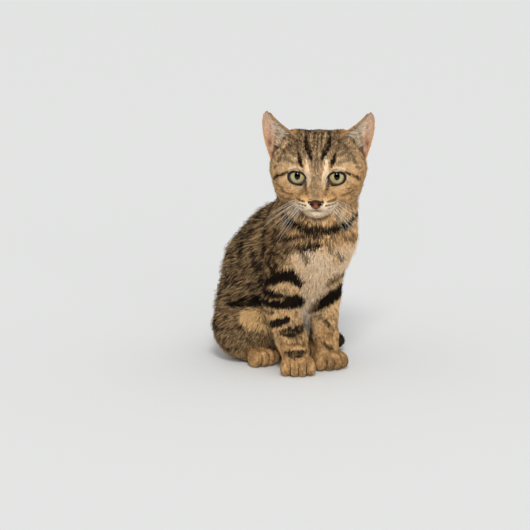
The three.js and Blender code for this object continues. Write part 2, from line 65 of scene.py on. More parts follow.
def ripple(p, size, seed, waves=7):
    # a smooth wandering value from -1 to 1: a sum of sine waves that run in seeded directions
    r = np.random.default_rng(seed)
    total = np.zeros(p.shape[:-1])
    for _ in range(waves):
        way = unit(r.normal(size=3)) * 2 * math.pi / (size * r.uniform(0.7, 1.6))
        total += np.sin(p @ way + r.uniform(0, 6.28))
    return total / math.sqrt(waves * 0.9)


def linear(colour):  # a colour as it looks on screen, made linear light
    c = np.asarray(colour, float)
    return np.where(c <= 0.04045, c / 12.92, ((c + 0.055) / 1.055) ** 2.4)


# the kitten's form: a distance field, negative inside
stance = {"turn": 35, "x": -1.3, "y": 10}
headSizes = {
    "place": vec(1.5, 6, 179), "nod": 4, "yaw": -3.7,
    "eyeRadius": 9.2, "eyeSpread": 16.4, "eyeForward": 17.6, "eyeDrop": 1.4, "eyeToe": 4,
    "lidWidth": 7.0, "lidHeight": 5.3, "lidDrop": 0.8,
}
# centre and half sizes of the eggs that make the head; those off its middle stand on both sides
headForms = {
    "skull": (vec(0, 8, 3), (34, 35, 27.8)), "temple": (vec(22.5, 2, 3.5), (18.6, 22, 15.5)),
    "earBase": (vec(20.5, 11.5, 23.5), (10, 8, 7.6)), "side": (vec(20, -2, -6), (19.5, 20, 19)),
    "cheek": (vec(19.6, -7, -16.5), (16.4, 16, 13.4)), "brow": (vec(13, -15, 8), (12, 10.5, 9.5)),
    "jaw": (vec(0, -8, -21), (22, 23, 13.5)), "pad": (vec(7.2, -30.5, -21.5), (10, 10, 7.6)),
    "chin": (vec(0, -26.5, -30.2), (10.6, 9.5, 6.6)), "orbit": (vec(18.4, -31.5, -1.5), (10, 7.5, 8.5)),
    "bridge": (vec(0, -15, 5), vec(0, -32.5, -14), 11.5, 7.4),  # the ridge: from, to and both radii
}
trunkForms = [  # back and up of one end, of the other, and both radii, along the body's middle
    (4, 104, 43, 103, 29.5, 34.8), (43, 103, 65, 78.5, 34.8, 38.7), (65, 78.5, 77, 48, 38.7, 38.25),
    (58, 38, 78, 38, 34, 38.25), (14, 84, 30, 62, 25, 24),
]
legSizes = {
    "pawHeight": 8.5, "pawGirth": 11.0, "toePitch": 7, "shoulderGirth": 20, "elbowGirth": 15,
    "hindSpread": 25.8, "hindPitch": 6.6, "foreToe": (4.9, 8.6, 7.8), "hindToe": (4.9, 8, 8.4),
}
joins = {  # how wide the soft joins between two forms are
    "cheeks": 9, "pads": 3.5, "bridge": 4, "muzzle": 9, "orbit": 6, "trunk": 14, "throat": 12, "neck": 10,
    "elbow": 6, "wrist": 5, "leg": 6, "toes": 2.4, "forepaw": 6, "hindFoot": 4, "thigh": 7, "foot": 3,
    "tail": 3,
}

sinTurn, cosTurn = math.sin(math.radians(stance["turn"])), math.cos(math.radians(stance["turn"]))


def onBody(back, left, up):
    x = stance["x"] - sinTurn * back + cosTurn * left
    return vec(x, stance["y"] + cosTurn * back + sinTurn * left, up)


def toBody(p):  # how far back, left and up a point is
    x, y = p[..., 0] - stance["x"], p[..., 1] - stance["y"]
    return -sinTurn * x + cosTurn * y, cosTurn * x + sinTurn * y, p[..., 2]


toRear = onBody(1, 0, 0) - onBody(0, 0, 0)
toLeft = onBody(0, 1, 0) - onBody(0, 0, 0)
downward = vec(0, 0, -1)


def turnMatrix(nod, yaw):
    a, b = math.radians(nod), math.radians(yaw)
    rx = np.array([[1, 0, 0], [0, math.cos(a), -math.sin(a)], [0, math.sin(a), math.cos(a)]])
    rz = np.array([[math.cos(b), -math.sin(b), 0], [math.sin(b), math.cos(b), 0], [0, 0, 1]])
    return rz @ rx


headTurn = turnMatrix(headSizes["nod"], headSizes["yaw"])
toHead = lambda p: (p - headSizes["place"]) @ headTurn
onHead = lambda q: q @ headTurn.T + headSizes["place"]


def blend(a, b, soft):
    h = np.clip(0.5 + 0.5 * (b - a) / soft, 0, 1)
    return b * (1 - h) + a * h - soft * h * (1 - h)


def blendAll(parts, soft):
    d = parts[0]
    for other in parts[1:]:
        d = blend(d, other, soft)
    return d


def cone(p, a, b, ra, rb):
    ab = b - a
    h = np.clip((p - a) @ ab / (ab @ ab), 0, 1)
    return np.linalg.norm(p - a - h[..., None] * ab, axis=-1) - ra - (rb - ra) * h


def egg(p, centre, radii, turn=0.0):
    q = p - centre
    if turn:
        c, s = math.cos(turn), math.sin(turn)
        q = np.stack([q[..., 0] * c + q[..., 1] * s, q[..., 1] * c - q[..., 0] * s, q[..., 2]], -1)
    r = np.asarray(radii, float)
    k0, k1 = np.linalg.norm(q / r, axis=-1), np.linalg.norm(q / r**2, axis=-1)
    return k0 * (k0 - 1) / np.maximum(k1, 1e-9)


def mirrored(q):
    return np.concatenate([np.abs(q[..., :1]), q[..., 1:]], -1)


def headField(p):
    m = mirrored(toHead(p))
    form = {name: egg(m, *sizes) for name, sizes in headForms.items() if name != "bridge"}
    bridge = cone(m, *headForms["bridge"])
    outer = ("skull", "temple", "earBase", "side", "cheek", "brow", "jaw")
    cheeks = blendAll([form[name] for name in outer], joins["cheeks"])
    muzzle = blend(blend(form["pad"], form["chin"], joins["pads"]), bridge, joins["bridge"])
    full = blend(blend(cheeks, bridge, joins["cheeks"]), muzzle, joins["muzzle"])
    return -blend(-full, form["orbit"], joins["orbit"])


def trunkField(p):
    return blendAll([
        cone(p, onBody(backA, 0, upA), onBody(backB, 0, upB), *radii)
        for backA, upA, backB, upB, *radii in trunkForms
    ], joins["trunk"])


def neckField(p):
    throat = cone(p, onBody(2, 6, 119), vec(3, 13, 157), 33.5, 33)
    nape = cone(p, onBody(28, 0, 115.5), vec(2, 24, 166), 27.5, 26)
    return blend(throat, nape, joins["throat"])


def thighField(p, side):
    return cone(p, onBody(66.5, 25.5 * side, 30.2), onBody(46, 27.5 * side, 40), 29.3, 18.5)


forelegs = {
    "right": {
        "shoulder": onBody(10, -23, 96), "elbow": onBody(14, -26.5, 62), "wrist": vec(-21, 9, 27),
        "paw": vec(-16, -1, legSizes["pawHeight"]), "heading": unit(vec(0.05, -1, 0)), "girth": 13,
    },
    "left": {
        "shoulder": onBody(10, 17.6, 97), "elbow": onBody(14, 18.6, 62), "wrist": vec(8.7, 24.5, 27),
        "paw": vec(9.8, 20, legSizes["pawHeight"]), "heading": unit(vec(0.42, -0.91, 0)), "girth": 10.2,
    },
}
toePlaces = (-1.5, -0.5, 0.5, 1.5)


def upperLegField(p, leg):
    elbow = legSizes["elbowGirth"]
    arm = cone(p, leg["shoulder"], leg["elbow"], legSizes["shoulderGirth"], elbow)
    return blend(arm, cone(p, leg["elbow"], leg["wrist"], elbow, leg["girth"]), joins["elbow"])


def foreToes(leg):
    h = leg["heading"]
    turn = math.atan2(h[1], h[0]) + math.pi / 2
    for place in toePlaces:
        centre = leg["paw"] + h * (9.5 - 1.4 * place**2) + vec(-h[1], h[0], 0) * place * legSizes["toePitch"]
        yield centre - vec(0, 0, 0.8 + 0.3 * abs(place)), legSizes["foreToe"], turn + place * 0.14


def hindToes(side):
    for place in toePlaces:
        left = legSizes["hindSpread"] * side + place * legSizes["hindPitch"]
        yield onBody(37 + 1.2 * place**2, left, 7.6), legSizes["hindToe"], math.radians(stance["turn"])


def toesField(p, toes):
    return blendAll([egg(p, *toe) for toe in toes], joins["toes"])


def forepawField(p, leg):
    wrist = cone(p, leg["wrist"], leg["paw"], leg["girth"], legSizes["pawGirth"])
    return blend(wrist, toesField(p, foreToes(leg)), joins["forepaw"])


def hindFootField(p, side):
    sole = cone(p, onBody(74, 26 * side, 8.5), onBody(47, 26 * side, 9.6), 9.5, 10.2)
    return blend(sole, toesField(p, hindToes(side)), joins["hindFoot"])


def spline(points, count):  # a Catmull-Rom curve through the points
    p = np.asarray(points, float)
    p = np.vstack([2 * p[0] - p[1], p, 2 * p[-1] - p[-2]])
    t = np.linspace(0, len(p) - 3 - 1e-9, count)
    i = t.astype(int)
    f = (t - i)[:, None]
    a, b, c, d = p[i], p[i + 1], p[i + 2], p[i + 3]
    return 0.5 * (2 * b + (c - a) * f + (2 * a - 5 * b + 4 * c - d) * f**2 + (3 * b - 3 * c + d - a) * f**3)


tailLine = spline([
    onBody(104, -2, 26), onBody(120, 10, 12.5), onBody(117, 32, 8.7), onBody(101, 50, 8.5),
    onBody(82, 58, 8.5), onBody(62, 59, 8.4), onBody(44, 56, 10),
], 25)
tailAlong = np.linspace(0, 1, len(tailLine))
tailRadii = 13.5 - 4.6 * np.minimum(1, tailAlong * 3) - 2.2 * tailAlong**3


def tailField(p):
    ends = zip(tailLine, tailLine[1:], tailRadii, tailRadii[1:])
    return np.minimum.reduce([cone(p, *end) for end in ends])


def regions(p):
    # how far each named part is, for the coat's depth, lie and markings
    near = {"head": headField(p), "neck": neckField(p), "trunk": trunkField(p), "tail": tailField(p)}
    for side, name in ((1, "Left"), (-1, "Right")):
        near["thigh" + name] = thighField(p, side)
        near["hind" + name] = hindFootField(p, side)
        leg = forelegs[name.lower()]
        near["arm" + name] = upperLegField(p, leg)
        near["paw" + name] = forepawField(p, leg)
    return near


def whole(near):
    d = blend(near["trunk"], near["neck"], joins["neck"])
    for name in ("Right", "Left"):
        d = blend(d, blend(near["arm" + name], near["paw" + name], joins["wrist"]), joins["leg"])
    d = blendAll([d, near["thighRight"], near["thighLeft"], near["head"]], joins["thigh"])
    d = blendAll([d, near["hindRight"], near["hindLeft"]], joins["foot"])
    return blend(d, near["tail"], joins["tail"])


# the coat's depth over the skin
coatDepth = {
    "head": 1.5, "neck": 4.2, "trunk": 4.6, "tail": 3.6, "thigh": 4.2, "hind": 0.9, "arm": 2.6, "paw": 0.9,
    "faceLess": 0.75, "ruffMore": 1.2,  # taken off on the face, added on the cheeks
    "low": 0.55, "high": 0.45,  # the share that limbs keep near the floor, and what they gain higher up
}


def kindOf(name):
    return name.replace("Left", "").replace("Right", "")


def shares(near, soft=4.0):
    # each part's share of a point, from how much nearer it is than the others
    names = list(near)
    d = np.stack([near[n] for n in names], -1)
    w = np.exp(-(d - d.min(-1, keepdims=True)) / soft)
    w /= w.sum(-1, keepdims=True)
    return {n: w[..., i] for i, n in enumerate(names)}


def depthAt(p, share):
    depth = np.zeros(p.shape[:-1])
    for name, part in share.items():
        depth += part * coatDepth[kindOf(name)]
    q = toHead(p)
    face = share["head"] * ramp(-q[..., 1], -6, 20)
    depth -= face * coatDepth["faceLess"]
    ruff = share["head"] * ramp(np.abs(q[..., 0]), 24, 38) * ramp(-q[..., 2], -2, 14)
    depth += ruff * coatDepth["ruffMore"]
    height = ramp(p[..., 2], 18, 60)
    high = coatDepth["high"]  # the trunk has all of it at any height
    return depth * (coatDepth["low"] + high * height + high * (1 - height) * share["trunk"])


def eyeSetting(side):
    s = headSizes
    toe = math.radians(s["eyeToe"])
    centre = vec(s["eyeSpread"] * side, -s["eyeForward"], -s["eyeDrop"])
    ahead = unit(vec(math.sin(toe) * side, -math.cos(toe), 0.04))
    out = vec(math.cos(toe) * side, math.sin(toe), 0)
    return centre, ahead, out, unit(vec(0, 0.04, 1))


def eyeRim(side, turn, grow, radius):
    # a flat round opening on the ball, drawn out into a corner on its inner, lower side
    centre, ahead, out, up = eyeSetting(side)
    corner = np.maximum(0, np.cos(turn - math.radians(215))) ** 5
    x = (headSizes["lidWidth"] + grow) * np.cos(turn) - 1.3 * corner
    z = (headSizes["lidHeight"] + grow) * np.sin(turn) - 1.6 * corner + 0.05 * x - headSizes["lidDrop"]
    depth = np.sqrt(np.maximum(radius**2 - x**2 - z**2, 1))
    return centre + x[:, None] * out + z[:, None] * up + depth[:, None] * ahead


def faceBase(p):  # the skin before its eyes and mouth are cut
    near = regions(p)
    return whole(near) + depthAt(p, shares(near))


lipLine = [  # the groove between the lips, from the middle out, and the cleft from the nose down to it
    vec(0.2, -37, -24.8), vec(3, -37, -26.4), vec(6.5, -35.5, -27.2),
    vec(10, -32.5, -26.6), vec(13, -28.5, -24.8),
]
cleftLine = (vec(0, -40, -19), vec(0, -39, -25))


def skinField(p):
    q = toHead(p)
    grooves = [cone(mirrored(q), a, b, 1.3, 1.3) for a, b in zip(lipLine, lipLine[1:])]
    d = -blend(-faceBase(p), np.minimum.reduce([*grooves, cone(q, *cleftLine, 1.1, 1.1)]), 1.2)
    for side in (1, -1):
        centre, ahead, out, up = eyeSetting(side)
        r = q - centre
        x, z, y = r @ out, r @ up + headSizes["lidDrop"], r @ ahead
        ball = np.linalg.norm(r, axis=-1) - headSizes["eyeRadius"] - 0.1
        wide, high = headSizes["lidWidth"] + 0.8, headSizes["lidHeight"] + 0.8
        almond = (np.hypot(x / wide, (z - 0.05 * x) / high) - 1) * high
        corner = np.hypot(x + 5.8, z + 3.8) - 1.7
        opening = np.maximum(np.minimum(almond, corner), -y)
        d = np.maximum(d, -np.minimum(ball, opening))
    return np.maximum(d, 0.35 - p[..., 2])


# meshing
def gridLines(stops):
    # lines along one axis: a list of (from, to, step) stretches joined end to end
    lines = [np.arange(a, b, step) for a, b, step in stops]
    return np.concatenate(lines + [[stops[-1][1]]])


def surfaceNets(field, xs, ys, zs, band=9.0, coarse=4, atOnce=400000):
    # one vertex in each cell the surface crosses, one quad round each crossed edge; the field is first
    # taken on a coarse grid, and then on the fine one within the band, so many points at once
    shape = (len(xs), len(ys), len(zs))
    cx, cy, cz = xs[::coarse], ys[::coarse], zs[::coarse]
    rough = field(np.stack(np.meshgrid(cx, cy, cz, indexing="ij"), -1))
    index = [np.minimum((np.arange(n) + coarse // 2) // coarse, m - 1) for n, m in zip(shape, rough.shape)]
    values = rough[np.ix_(*index)]
    close = np.argwhere(np.abs(values) < band)
    for start in range(0, len(close), atOnce):
        part = close[start:start + atOnce]
        points = np.stack([xs[part[:, 0]], ys[part[:, 1]], zs[part[:, 2]]], -1)
        values[part[:, 0], part[:, 1], part[:, 2]] = field(points)
    inside = values < 0
    corners = [(a, b, c) for a in (0, 1) for b in (0, 1) for c in (0, 1)]
    cells = tuple(n - 1 for n in shape)
    part = lambda arr, c: arr[c[0]:c[0] + cells[0], c[1]:c[1] + cells[1], c[2]:c[2] + cells[2]]
    count = sum(part(inside, c).astype(np.int8) for c in corners)
    active = np.argwhere((count > 0) & (count < 8))
    number = -np.ones(cells, int)
    number[tuple(active.T)] = np.arange(len(active))
    total, hits = np.zeros((len(active), 3)), np.zeros(len(active))
    for a in corners:
        for axis in range(3):
            if a[axis]:
                continue
            b = tuple(v + (i == axis) for i, v in enumerate(a))
            va = values[tuple((active + a).T)]
            vb = values[tuple((active + b).T)]
            cross = (va < 0) != (vb < 0)
            t = np.where(cross, va / np.where(cross, va - vb, 1), 0)
            place = np.tile(vec(*a), (len(active), 1))
            place[:, axis] += t
            total += place * cross[:, None]
            hits += cross
    local = total / hits[:, None]
    verts = np.empty_like(local)
    for axis, lines in enumerate((xs, ys, zs)):
        low = lines[active[:, axis]]
        verts[:, axis] = low + local[:, axis] * (lines[active[:, axis] + 1] - low)
    quads = []
    for axis in range(3):
        step = np.eye(3, dtype=int)[axis]
        size = tuple(n - s for n, s in zip(shape, step))
        here = inside[:size[0], :size[1], :size[2]]
        there = inside[step[0]:, step[1]:, step[2]:]
        edge = np.argwhere(here != there)
        u, v = np.eye(3, dtype=int)[(axis + 1) % 3], np.eye(3, dtype=int)[(axis + 2) % 3]
        edge = edge[(edge[:, (axis + 1) % 3] > 0) & (edge[:, (axis + 2) % 3] > 0)]
        around = [edge - u - v, edge - v, edge, edge - u]
        quad = np.stack([number[tuple(c.T)] for c in around], -1)
        turn = here[tuple(edge.T)]
        quad[~turn] = quad[~turn][:, ::-1]
        quads.append(quad)
    return verts, np.concatenate(quads)


def slopeOf(field, p, e=0.25):
    # the field's slope, which is the surface's outward normal
    return np.stack([field(p + step) - field(p - step) for step in np.eye(3) * e], -1) / (2 * e)


def meshObject(name, verts, faces, colours=None, material=None, uv=None, mapName="OFBake"):
    # puts whole arrays, in millimetres, into a new mesh: faces are all triangles or all quads,
    # and uv has one place for each vertex, or one for each corner of each face
    mesh = bpy.data.meshes.new(name)
    points = (verts - middle) * millimetre
    size = faces.shape[1]
    mesh.vertices.add(len(points))
    mesh.vertices.foreach_set("co", points.astype(np.float32).ravel())
    mesh.loops.add(faces.size)
    mesh.loops.foreach_set("vertex_index", faces.astype(np.int32).ravel())
    mesh.polygons.add(len(faces))
    mesh.polygons.foreach_set("loop_start", np.arange(0, faces.size, size, dtype=np.int32))
    mesh.polygons.foreach_set("use_smooth", np.ones(len(faces), bool))
    mesh.update(calc_edges=True)
    if colours is not None:
        layer = mesh.color_attributes.new("coatColour", "FLOAT_COLOR", "POINT")
        rgba = np.ones((len(points), 4), np.float32)
        rgba[:, :3] = colours
        layer.data.foreach_set("color", rgba.ravel())
    if uv is not None:
        layer = mesh.uv_layers.new(name=mapName)
        corners = uv[faces.ravel()] if uv.shape == (len(points), 2) else uv
        layer.data.foreach_set("uv", corners.astype(np.float32).ravel())
    piece = bpy.data.objects.new(name, mesh)
    bpy.context.scene.collection.objects.link(piece)
    if material is not None:
        mesh.materials.append(material)
    return piece


def carry(piece, slot, *nodes):
    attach(piece, "root")
    if nodes:
        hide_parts(*nodes)


# markings, shared by the skin, the lids, the ears and every tuft
tones = {  # as they look on screen
    "black": (0.108, 0.070, 0.040), "umber": (0.21, 0.145, 0.09), "agouti": (0.49, 0.38, 0.25),
    "tan": (0.77, 0.625, 0.44), "sand": (0.88, 0.74, 0.55), "cream": (0.95, 0.87, 0.745),
    "white": (0.97, 0.925, 0.865), "honey": (0.96, 0.80, 0.565), "rust": (0.64, 0.44, 0.275),
    "smoke": (0.64, 0.57, 0.49), "lidRim": (0.045, 0.03, 0.022), "whisker": (0.98, 0.93, 0.85),
    "noseLow": (0.17, 0.10, 0.06), "noseTop": (0.23, 0.15, 0.095), "nosePink": (0.55, 0.30, 0.17),
    # painted shade for hollows: the nostril tone, and the dark brown ear tone on the next line
    "nostril": (0.06, 0.04, 0.04), "earPink": (0.72, 0.53, 0.42), "earPale": (0.80, 0.67, 0.56),
    "earHollowShade": (0.36, 0.21, 0.13), "earInner": (0.44, 0.34, 0.235), "earRim": (0.80, 0.60, 0.38),
    "earFringe": (0.80, 0.62, 0.41),
}
tones = {name: np.array(value) for name, value in tones.items()}
tints = {  # the same tones made warmer, cooler or dimmer for one place
    "cheek": tones["tan"] * vec(1.03, 1.01, 0.98), "crownDark": tones["agouti"] * 0.5,
    "crownPale": tones["tan"] * vec(1, 1.03, 1.08), "temple": tones["sand"] * vec(0.92, 0.95, 1.02),
    "earFoot": tones["tan"] * vec(1.0, 0.92, 0.82), "muzzleTop": tones["sand"] * vec(1.03, 0.96, 0.86),
    "muzzleLow": tones["white"] * vec(1.01, 0.965, 0.9), "chestSand": tones["sand"] * 1.08,
    "chestWhite": tones["white"] * vec(1.03, 0.97, 0.89), "pawDark": tones["tan"] * vec(0.80, 0.76, 0.70),
    "pawPale": tones["tan"] * vec(0.93, 0.91, 0.88),
}


def stroke(u, v, points, soft=0.8):
    # how far a place lies in a brush stroke: a chain of tapering capsules, each point (u, v, half width)
    mask = np.zeros(u.shape)
    for (ua, va, wa), (ub, vb, wb) in zip(points, points[1:]):
        du, dv = ub - ua, vb - va
        h = np.clip(((u - ua) * du + (v - va) * dv) / (du * du + dv * dv), 0, 1)
        d = np.hypot(u - ua - h * du, v - va - h * dv) - (wa + (wb - wa) * h)
        mask = np.maximum(mask, 1 - ramp(d, -soft, soft))
    return mask


faceMarks = [  # across and up the face from its middle; both sides alike
    ("black", 0.55, [(3.4, 34, 0.8), (2.9, 22, 0.7)]),
    ("black", 0.45, [(0, 34, 0.7), (0.3, 15, 0.5)]),
    ("sand", 0.6, [(6.2, 33, 0.8), (5.2, 25, 0.7)]),
    ("sand", 0.4, [(1.7, 33, 0.5), (1.5, 19, 0.5)]),
    ("black", 0.75, [(10.2, 33, 1.2), (9.4, 28.5, 1.4)]),
    ("black", 1.0, [(10.6, 26.5, 1.1), (8.8, 24, 2.7), (6.8, 20.5, 2.3), (4.6, 16.2, 1.3)]),
    ("agouti", 0.5, [(8.4, 30, 0.5), (7.0, 24, 0.6), (5.8, 21, 0.4)]),
    ("black", 0.6, [(4.6, 16.2, 0.9), (4.2, 11.5, 0.6)]),
    ("umber", 0.5, [(1.4, 15, 0.6), (1.2, 6, 0.5)]),
    ("smoke", 0.75, [(8.6, 17, 1.0), (8.2, 12, 1.4)]),
    ("cream", 0.95, [(8.6, 14, 0.8), (8.3, 9, 1.5), (7.9, 3, 2.6), (7.6, -2, 3.1), (7.9, -6, 1.9)]),
    ("white", 0.5, [(8.3, 8, 0.6), (7.9, 2, 1.3), (7.7, -3.5, 1.4)]),
    ("cream", 0.5, [(9.8, 6, 0.8), (10.2, 0, 1.0)]),
    ("black", 1.0, [(15.6, 18.5, 0.9), (14.0, 13, 2.0), (12.6, 9.4, 1.2)]),
    ("umber", 0.6, [(15.5, 18, 1.0), (18, 23, 1.3), (19, 29, 1.1)]),
    ("umber", 0.4, [(19, 11.5, 0.7), (24, 13.0, 0.8), (28, 12.5, 0.7)]),
    ("umber", 0.45, [(20, 17.0, 0.8), (25, 18, 0.9), (29, 16, 0.7)]),
    ("black", 0.5, [(31, 12.5, 0.8), (33.5, 9.5, 1.0)]),
    ("black", 0.45, [(34, 6.5, 0.8), (37, 4, 0.9)]),
    ("sand", 0.6, [(19, 28.5, 1.0), (24, 24.5, 1.7), (30, 19.5, 2.0), (36, 13, 1.6)]),
    ("cream", 0.4, [(22, 27, 0.7), (28, 22, 0.9), (34, 16, 0.9)]),
    ("umber", 0.5, [(23, 21.5, 0.8), (29, 17, 0.9)]),
    ("sand", 0.6, [(18, 15, 0.8), (23, 15.5, 0.9), (30, 20, 1.1), (34, 17, 0.9)]),
    ("cream", 0.8, [(12.5, 6.6, 1.0), (17.5, 7.8, 1.4), (23.5, 5.8, 1.1)]),
    ("sand", 0.85, [(11.5, -10, 1.8), (17.5, -11.5, 2.4), (25, -9, 1.8)]),
    ("cream", 0.5, [(12.5, -10.5, 0.8), (17.5, -11.0, 1.2), (22, -9, 0.8)]),
    ("cream", 0.5, [(26, -1.5, 1.0), (31, -6, 1.4)]),
    ("black", 0.95, [(24.4, 2.6, 0.8), (29, 0.4, 1.3), (34, -2.0, 1.3), (37, -6.5, 0.9)]),
    ("umber", 0.6, [(20, -17, 0.6), (25, -16.4, 0.9), (31, -14, 0.8)]),
    ("umber", 0.35, [(25, -11.6, 0.5), (31, -11.6, 0.7), (37, -10, 0.7)]),
    ("umber", 0.4, [(24, -22, 0.6), (30, -22, 0.9), (36, -19, 0.9)]),
    ("black", 0.85, [(10.0, -5.2, 1.7), (9.6, -8.5, 1.3), (9.3, -10.5, 0.6)]),
    ("rust", 0.6, [(7.4, -8, 0.6), (6.8, -11, 1.2), (6.2, -13.5, 1.0)]),
    ("agouti", 0.5, [(0, -6, 3.0), (0, -13, 3.4)]),
    ("black", 0.55, [(8.2, -11.8, 0.7), (8.6, -12.5, 0.7)]),
    ("umber", 0.6, [(0, -16.8, 0.4), (6.0, -16.3, 0.4), (6.6, -18.6, 0.3), (2.2, -24.4, 0.3)]),
    # the dark lip line, with painted shade in the lips' groove
    ("umber", 0.6, [(0, -25, 0.5), (0.2, -27.4, 0.6), (4.5, -28.4, 0.5)]),
]
whiskerRows = [  # the strength of each dark row on the pads, then its places
    (0.9, [(10.2, -18.5), (13.5, -18.0), (16.4, -18.4)]),
    (0.95, [(8.8, -21.6), (12.5, -21.3), (16.2, -21.5)]),
    (0.6, [(10.4, -24.5), (14.5, -24.2)]),
]
chestMarks = [  # across and up the chest as seen from straight in front
    ("black", 0.95, [
        (-33, 143, 2.6), (-22, 135, 3.6), (-6, 130, 4.2), (10, 129.5, 3.8), (24, 132, 3.1), (33, 138, 2.6),
    ]),
    ("tan", 0.5, [(-44, 138, 1.6), (-33, 129, 2.2), (-20, 123, 2.0)]),
    ("tan", 0.45, [(-38, 148, 1.4), (-28, 139, 1.6)]),
    ("black", 0.6, [(-46, 131, 1.8), (-34, 121, 2.2), (-20, 116, 1.6)]),
    # painted shade: the dark band just under the jaw
    ("black", 0.75, [(-28, 152, 1.8), (-16, 144, 2.6), (0, 141, 2.8), (10, 142, 1.8)]),
    ("tan", 0.65, [(15, 140.5, 2.2), (24, 141.5, 3.0), (34, 146, 2.6)]),
    ("black", 0.95, [(-42, 97, 2.8), (-29, 106, 3.4), (-15, 113.5, 3.2), (2, 116, 2.4)]),
    ("black", 0.8, [(-26, 119, 2.4), (-12, 123, 2.6), (2, 123.5, 2.0)]),
    ("black", 0.7, [(10, 119, 1.8), (12.5, 111.5, 2.2)]),
    ("black", 0.6, [(17, 107, 1.9), (21, 101, 2.2)]),
    ("black", 0.65, [(-11, 107, 2.2), (-7, 102, 1.9)]),
    ("umber", 0.6, [(22, 122, 1.8), (32, 117, 1.8)]),
]
rightLegMarks = [  # across and up
    ("black", 1.0, [(-42, 81, 2.6), (-33, 87.5, 4.8), (-23, 89.5, 5.4), (-15, 82, 4.0)]),
    ("sand", 0.75, [(-38, 76, 2.2), (-27, 81, 2.9), (-17, 75.5, 2.4)]),
    ("black", 0.95, [(-52, 72, 2.4), (-40, 71.5, 3.4), (-28, 69.5, 2.2), (-16, 67, 3.4)]),
    ("black", 1.0, [(-50, 63, 2.6), (-32, 62.5, 3.8), (-15, 62, 4.6)]),
    ("black", 0.8, [(-45, 55.5, 2.0), (-37, 55, 1.8)]),
    ("black", 0.95, [(-40, 41.5, 3.0), (-33, 45.5, 4.1), (-25, 49.5, 2.8)]),
    ("black", 0.9, [(-28.5, 36.5, 3.0), (-21, 37, 5.2), (-12, 39.5, 3.4)]),
    ("black", 0.85, [(-27, 19.5, 1.4), (-19, 18.5, 3.1), (-10, 20, 2.2)]),
    ("umber", 0.5, [(-14, 27, 1.2), (-9, 25, 1.4)]),
    ("umber", 0.45, [(-27, 27, 1.0), (-12, 26.5, 1.2)]),
]
leftLegMarks = [  # across and up
    ("black", 0.92, [(3, 76, 2.4), (13, 81.5, 3.6), (27, 85, 3.0)]),
    ("sand", 0.5, [(10, 73, 1.4), (18, 76, 1.8), (27, 77, 1.6)]),
    ("black", 0.98, [(-7, 51, 3.4), (5, 58.5, 6.2), (15, 65, 7.0), (25, 69, 5.6)]),
    ("umber", 0.6, [(-1, 46, 1.1), (4, 45.5, 1.1)]),
    ("umber", 0.75, [(7, 42.5, 1.6), (15, 35, 2.0)]),
    ("umber", 0.7, [(5.5, 24, 1.5), (12.5, 18.5, 1.9)]),
]
flankMarks = [  # back and up, seen from the side; the same on both sides
    ("black", 0.8, [(92, 51, 3.0), (74, 48, 4.0), (60, 52, 5.0), (46, 57.5, 6.0), (37, 57.5, 4.0)]),
    ("sand", 0.6, [(47, 88, 1.0), (38, 71, 1.5), (29, 55, 1.8), (20, 41, 1.8)]),
    ("honey", 1.0, [(46, 44, 6.0), (36, 42, 9.5), (25, 40, 10.0)]),
    ("sand", 0.8, [(66, 28, 1.6), (52, 23.5, 2.4), (34, 24, 2.2)]),
    ("black", 0.75, [(90, 42, 3.0), (76, 35, 3.6), (64, 28, 3.0)]),
    ("tan", 0.5, [(84, 51, 1.8), (68, 45, 2.2), (52, 47, 2.0)]),
    ("black", 0.3, [(88, 26, 3.0), (70, 14, 3.0), (48, 13, 2.4)]),
]


# makes up for the shade that lying hair casts on itself, up to a brightest value
hairGain, hairMost = 1.22, 0.96


def hairLight(colour):
    light = linear(colour) * hairGain
    return light / np.maximum(light.max(-1, keepdims=True) / hairMost, 1)


def layered(colour, layers):  # lays colours over one another in turn, each with its share of every place
    for over, share in layers:
        colour = mix(colour, over, share)
    return colour


def paint(colour, marks, u, v, where, soft=0.8, hairs=0.0):
    # hairs, from -1 to 1, frays each stroke's edge and lets single hairs run through it
    for tone, strength, points in marks:
        mask = stroke(u, v, points, soft * 1.3)
        colour[:] = mix(colour, tones[tone], ramp(mask * (1 + 0.5 * hairs), 0.15, 0.75) * strength * where)


def tailPlace(p):  # the number of the nearest point of the tail's middle line
    return np.argmin(np.linalg.norm(p[:, None, :] - tailLine[None], axis=-1), axis=1)


def toeGapShade(p, centres, heading):
    # painted shade: dark where a place lies half way between two toes, over the front of the foot, where the
    # gaps fall in shade
    across = vec(-heading[1], heading[0], 0)
    places = sorted(c @ across for c in centres)
    gaps = [(a + b) / 2 for a, b in zip(places, places[1:])]
    ahead = p @ heading - np.mean([c @ heading for c in centres])
    close = np.minimum.reduce([np.abs(p @ across - g) for g in gaps])
    return (1 - ramp(close, 0.1, 0.7)) * ramp(ahead, 0, 4) * (1 - ramp(p[..., 2], 9, 13))


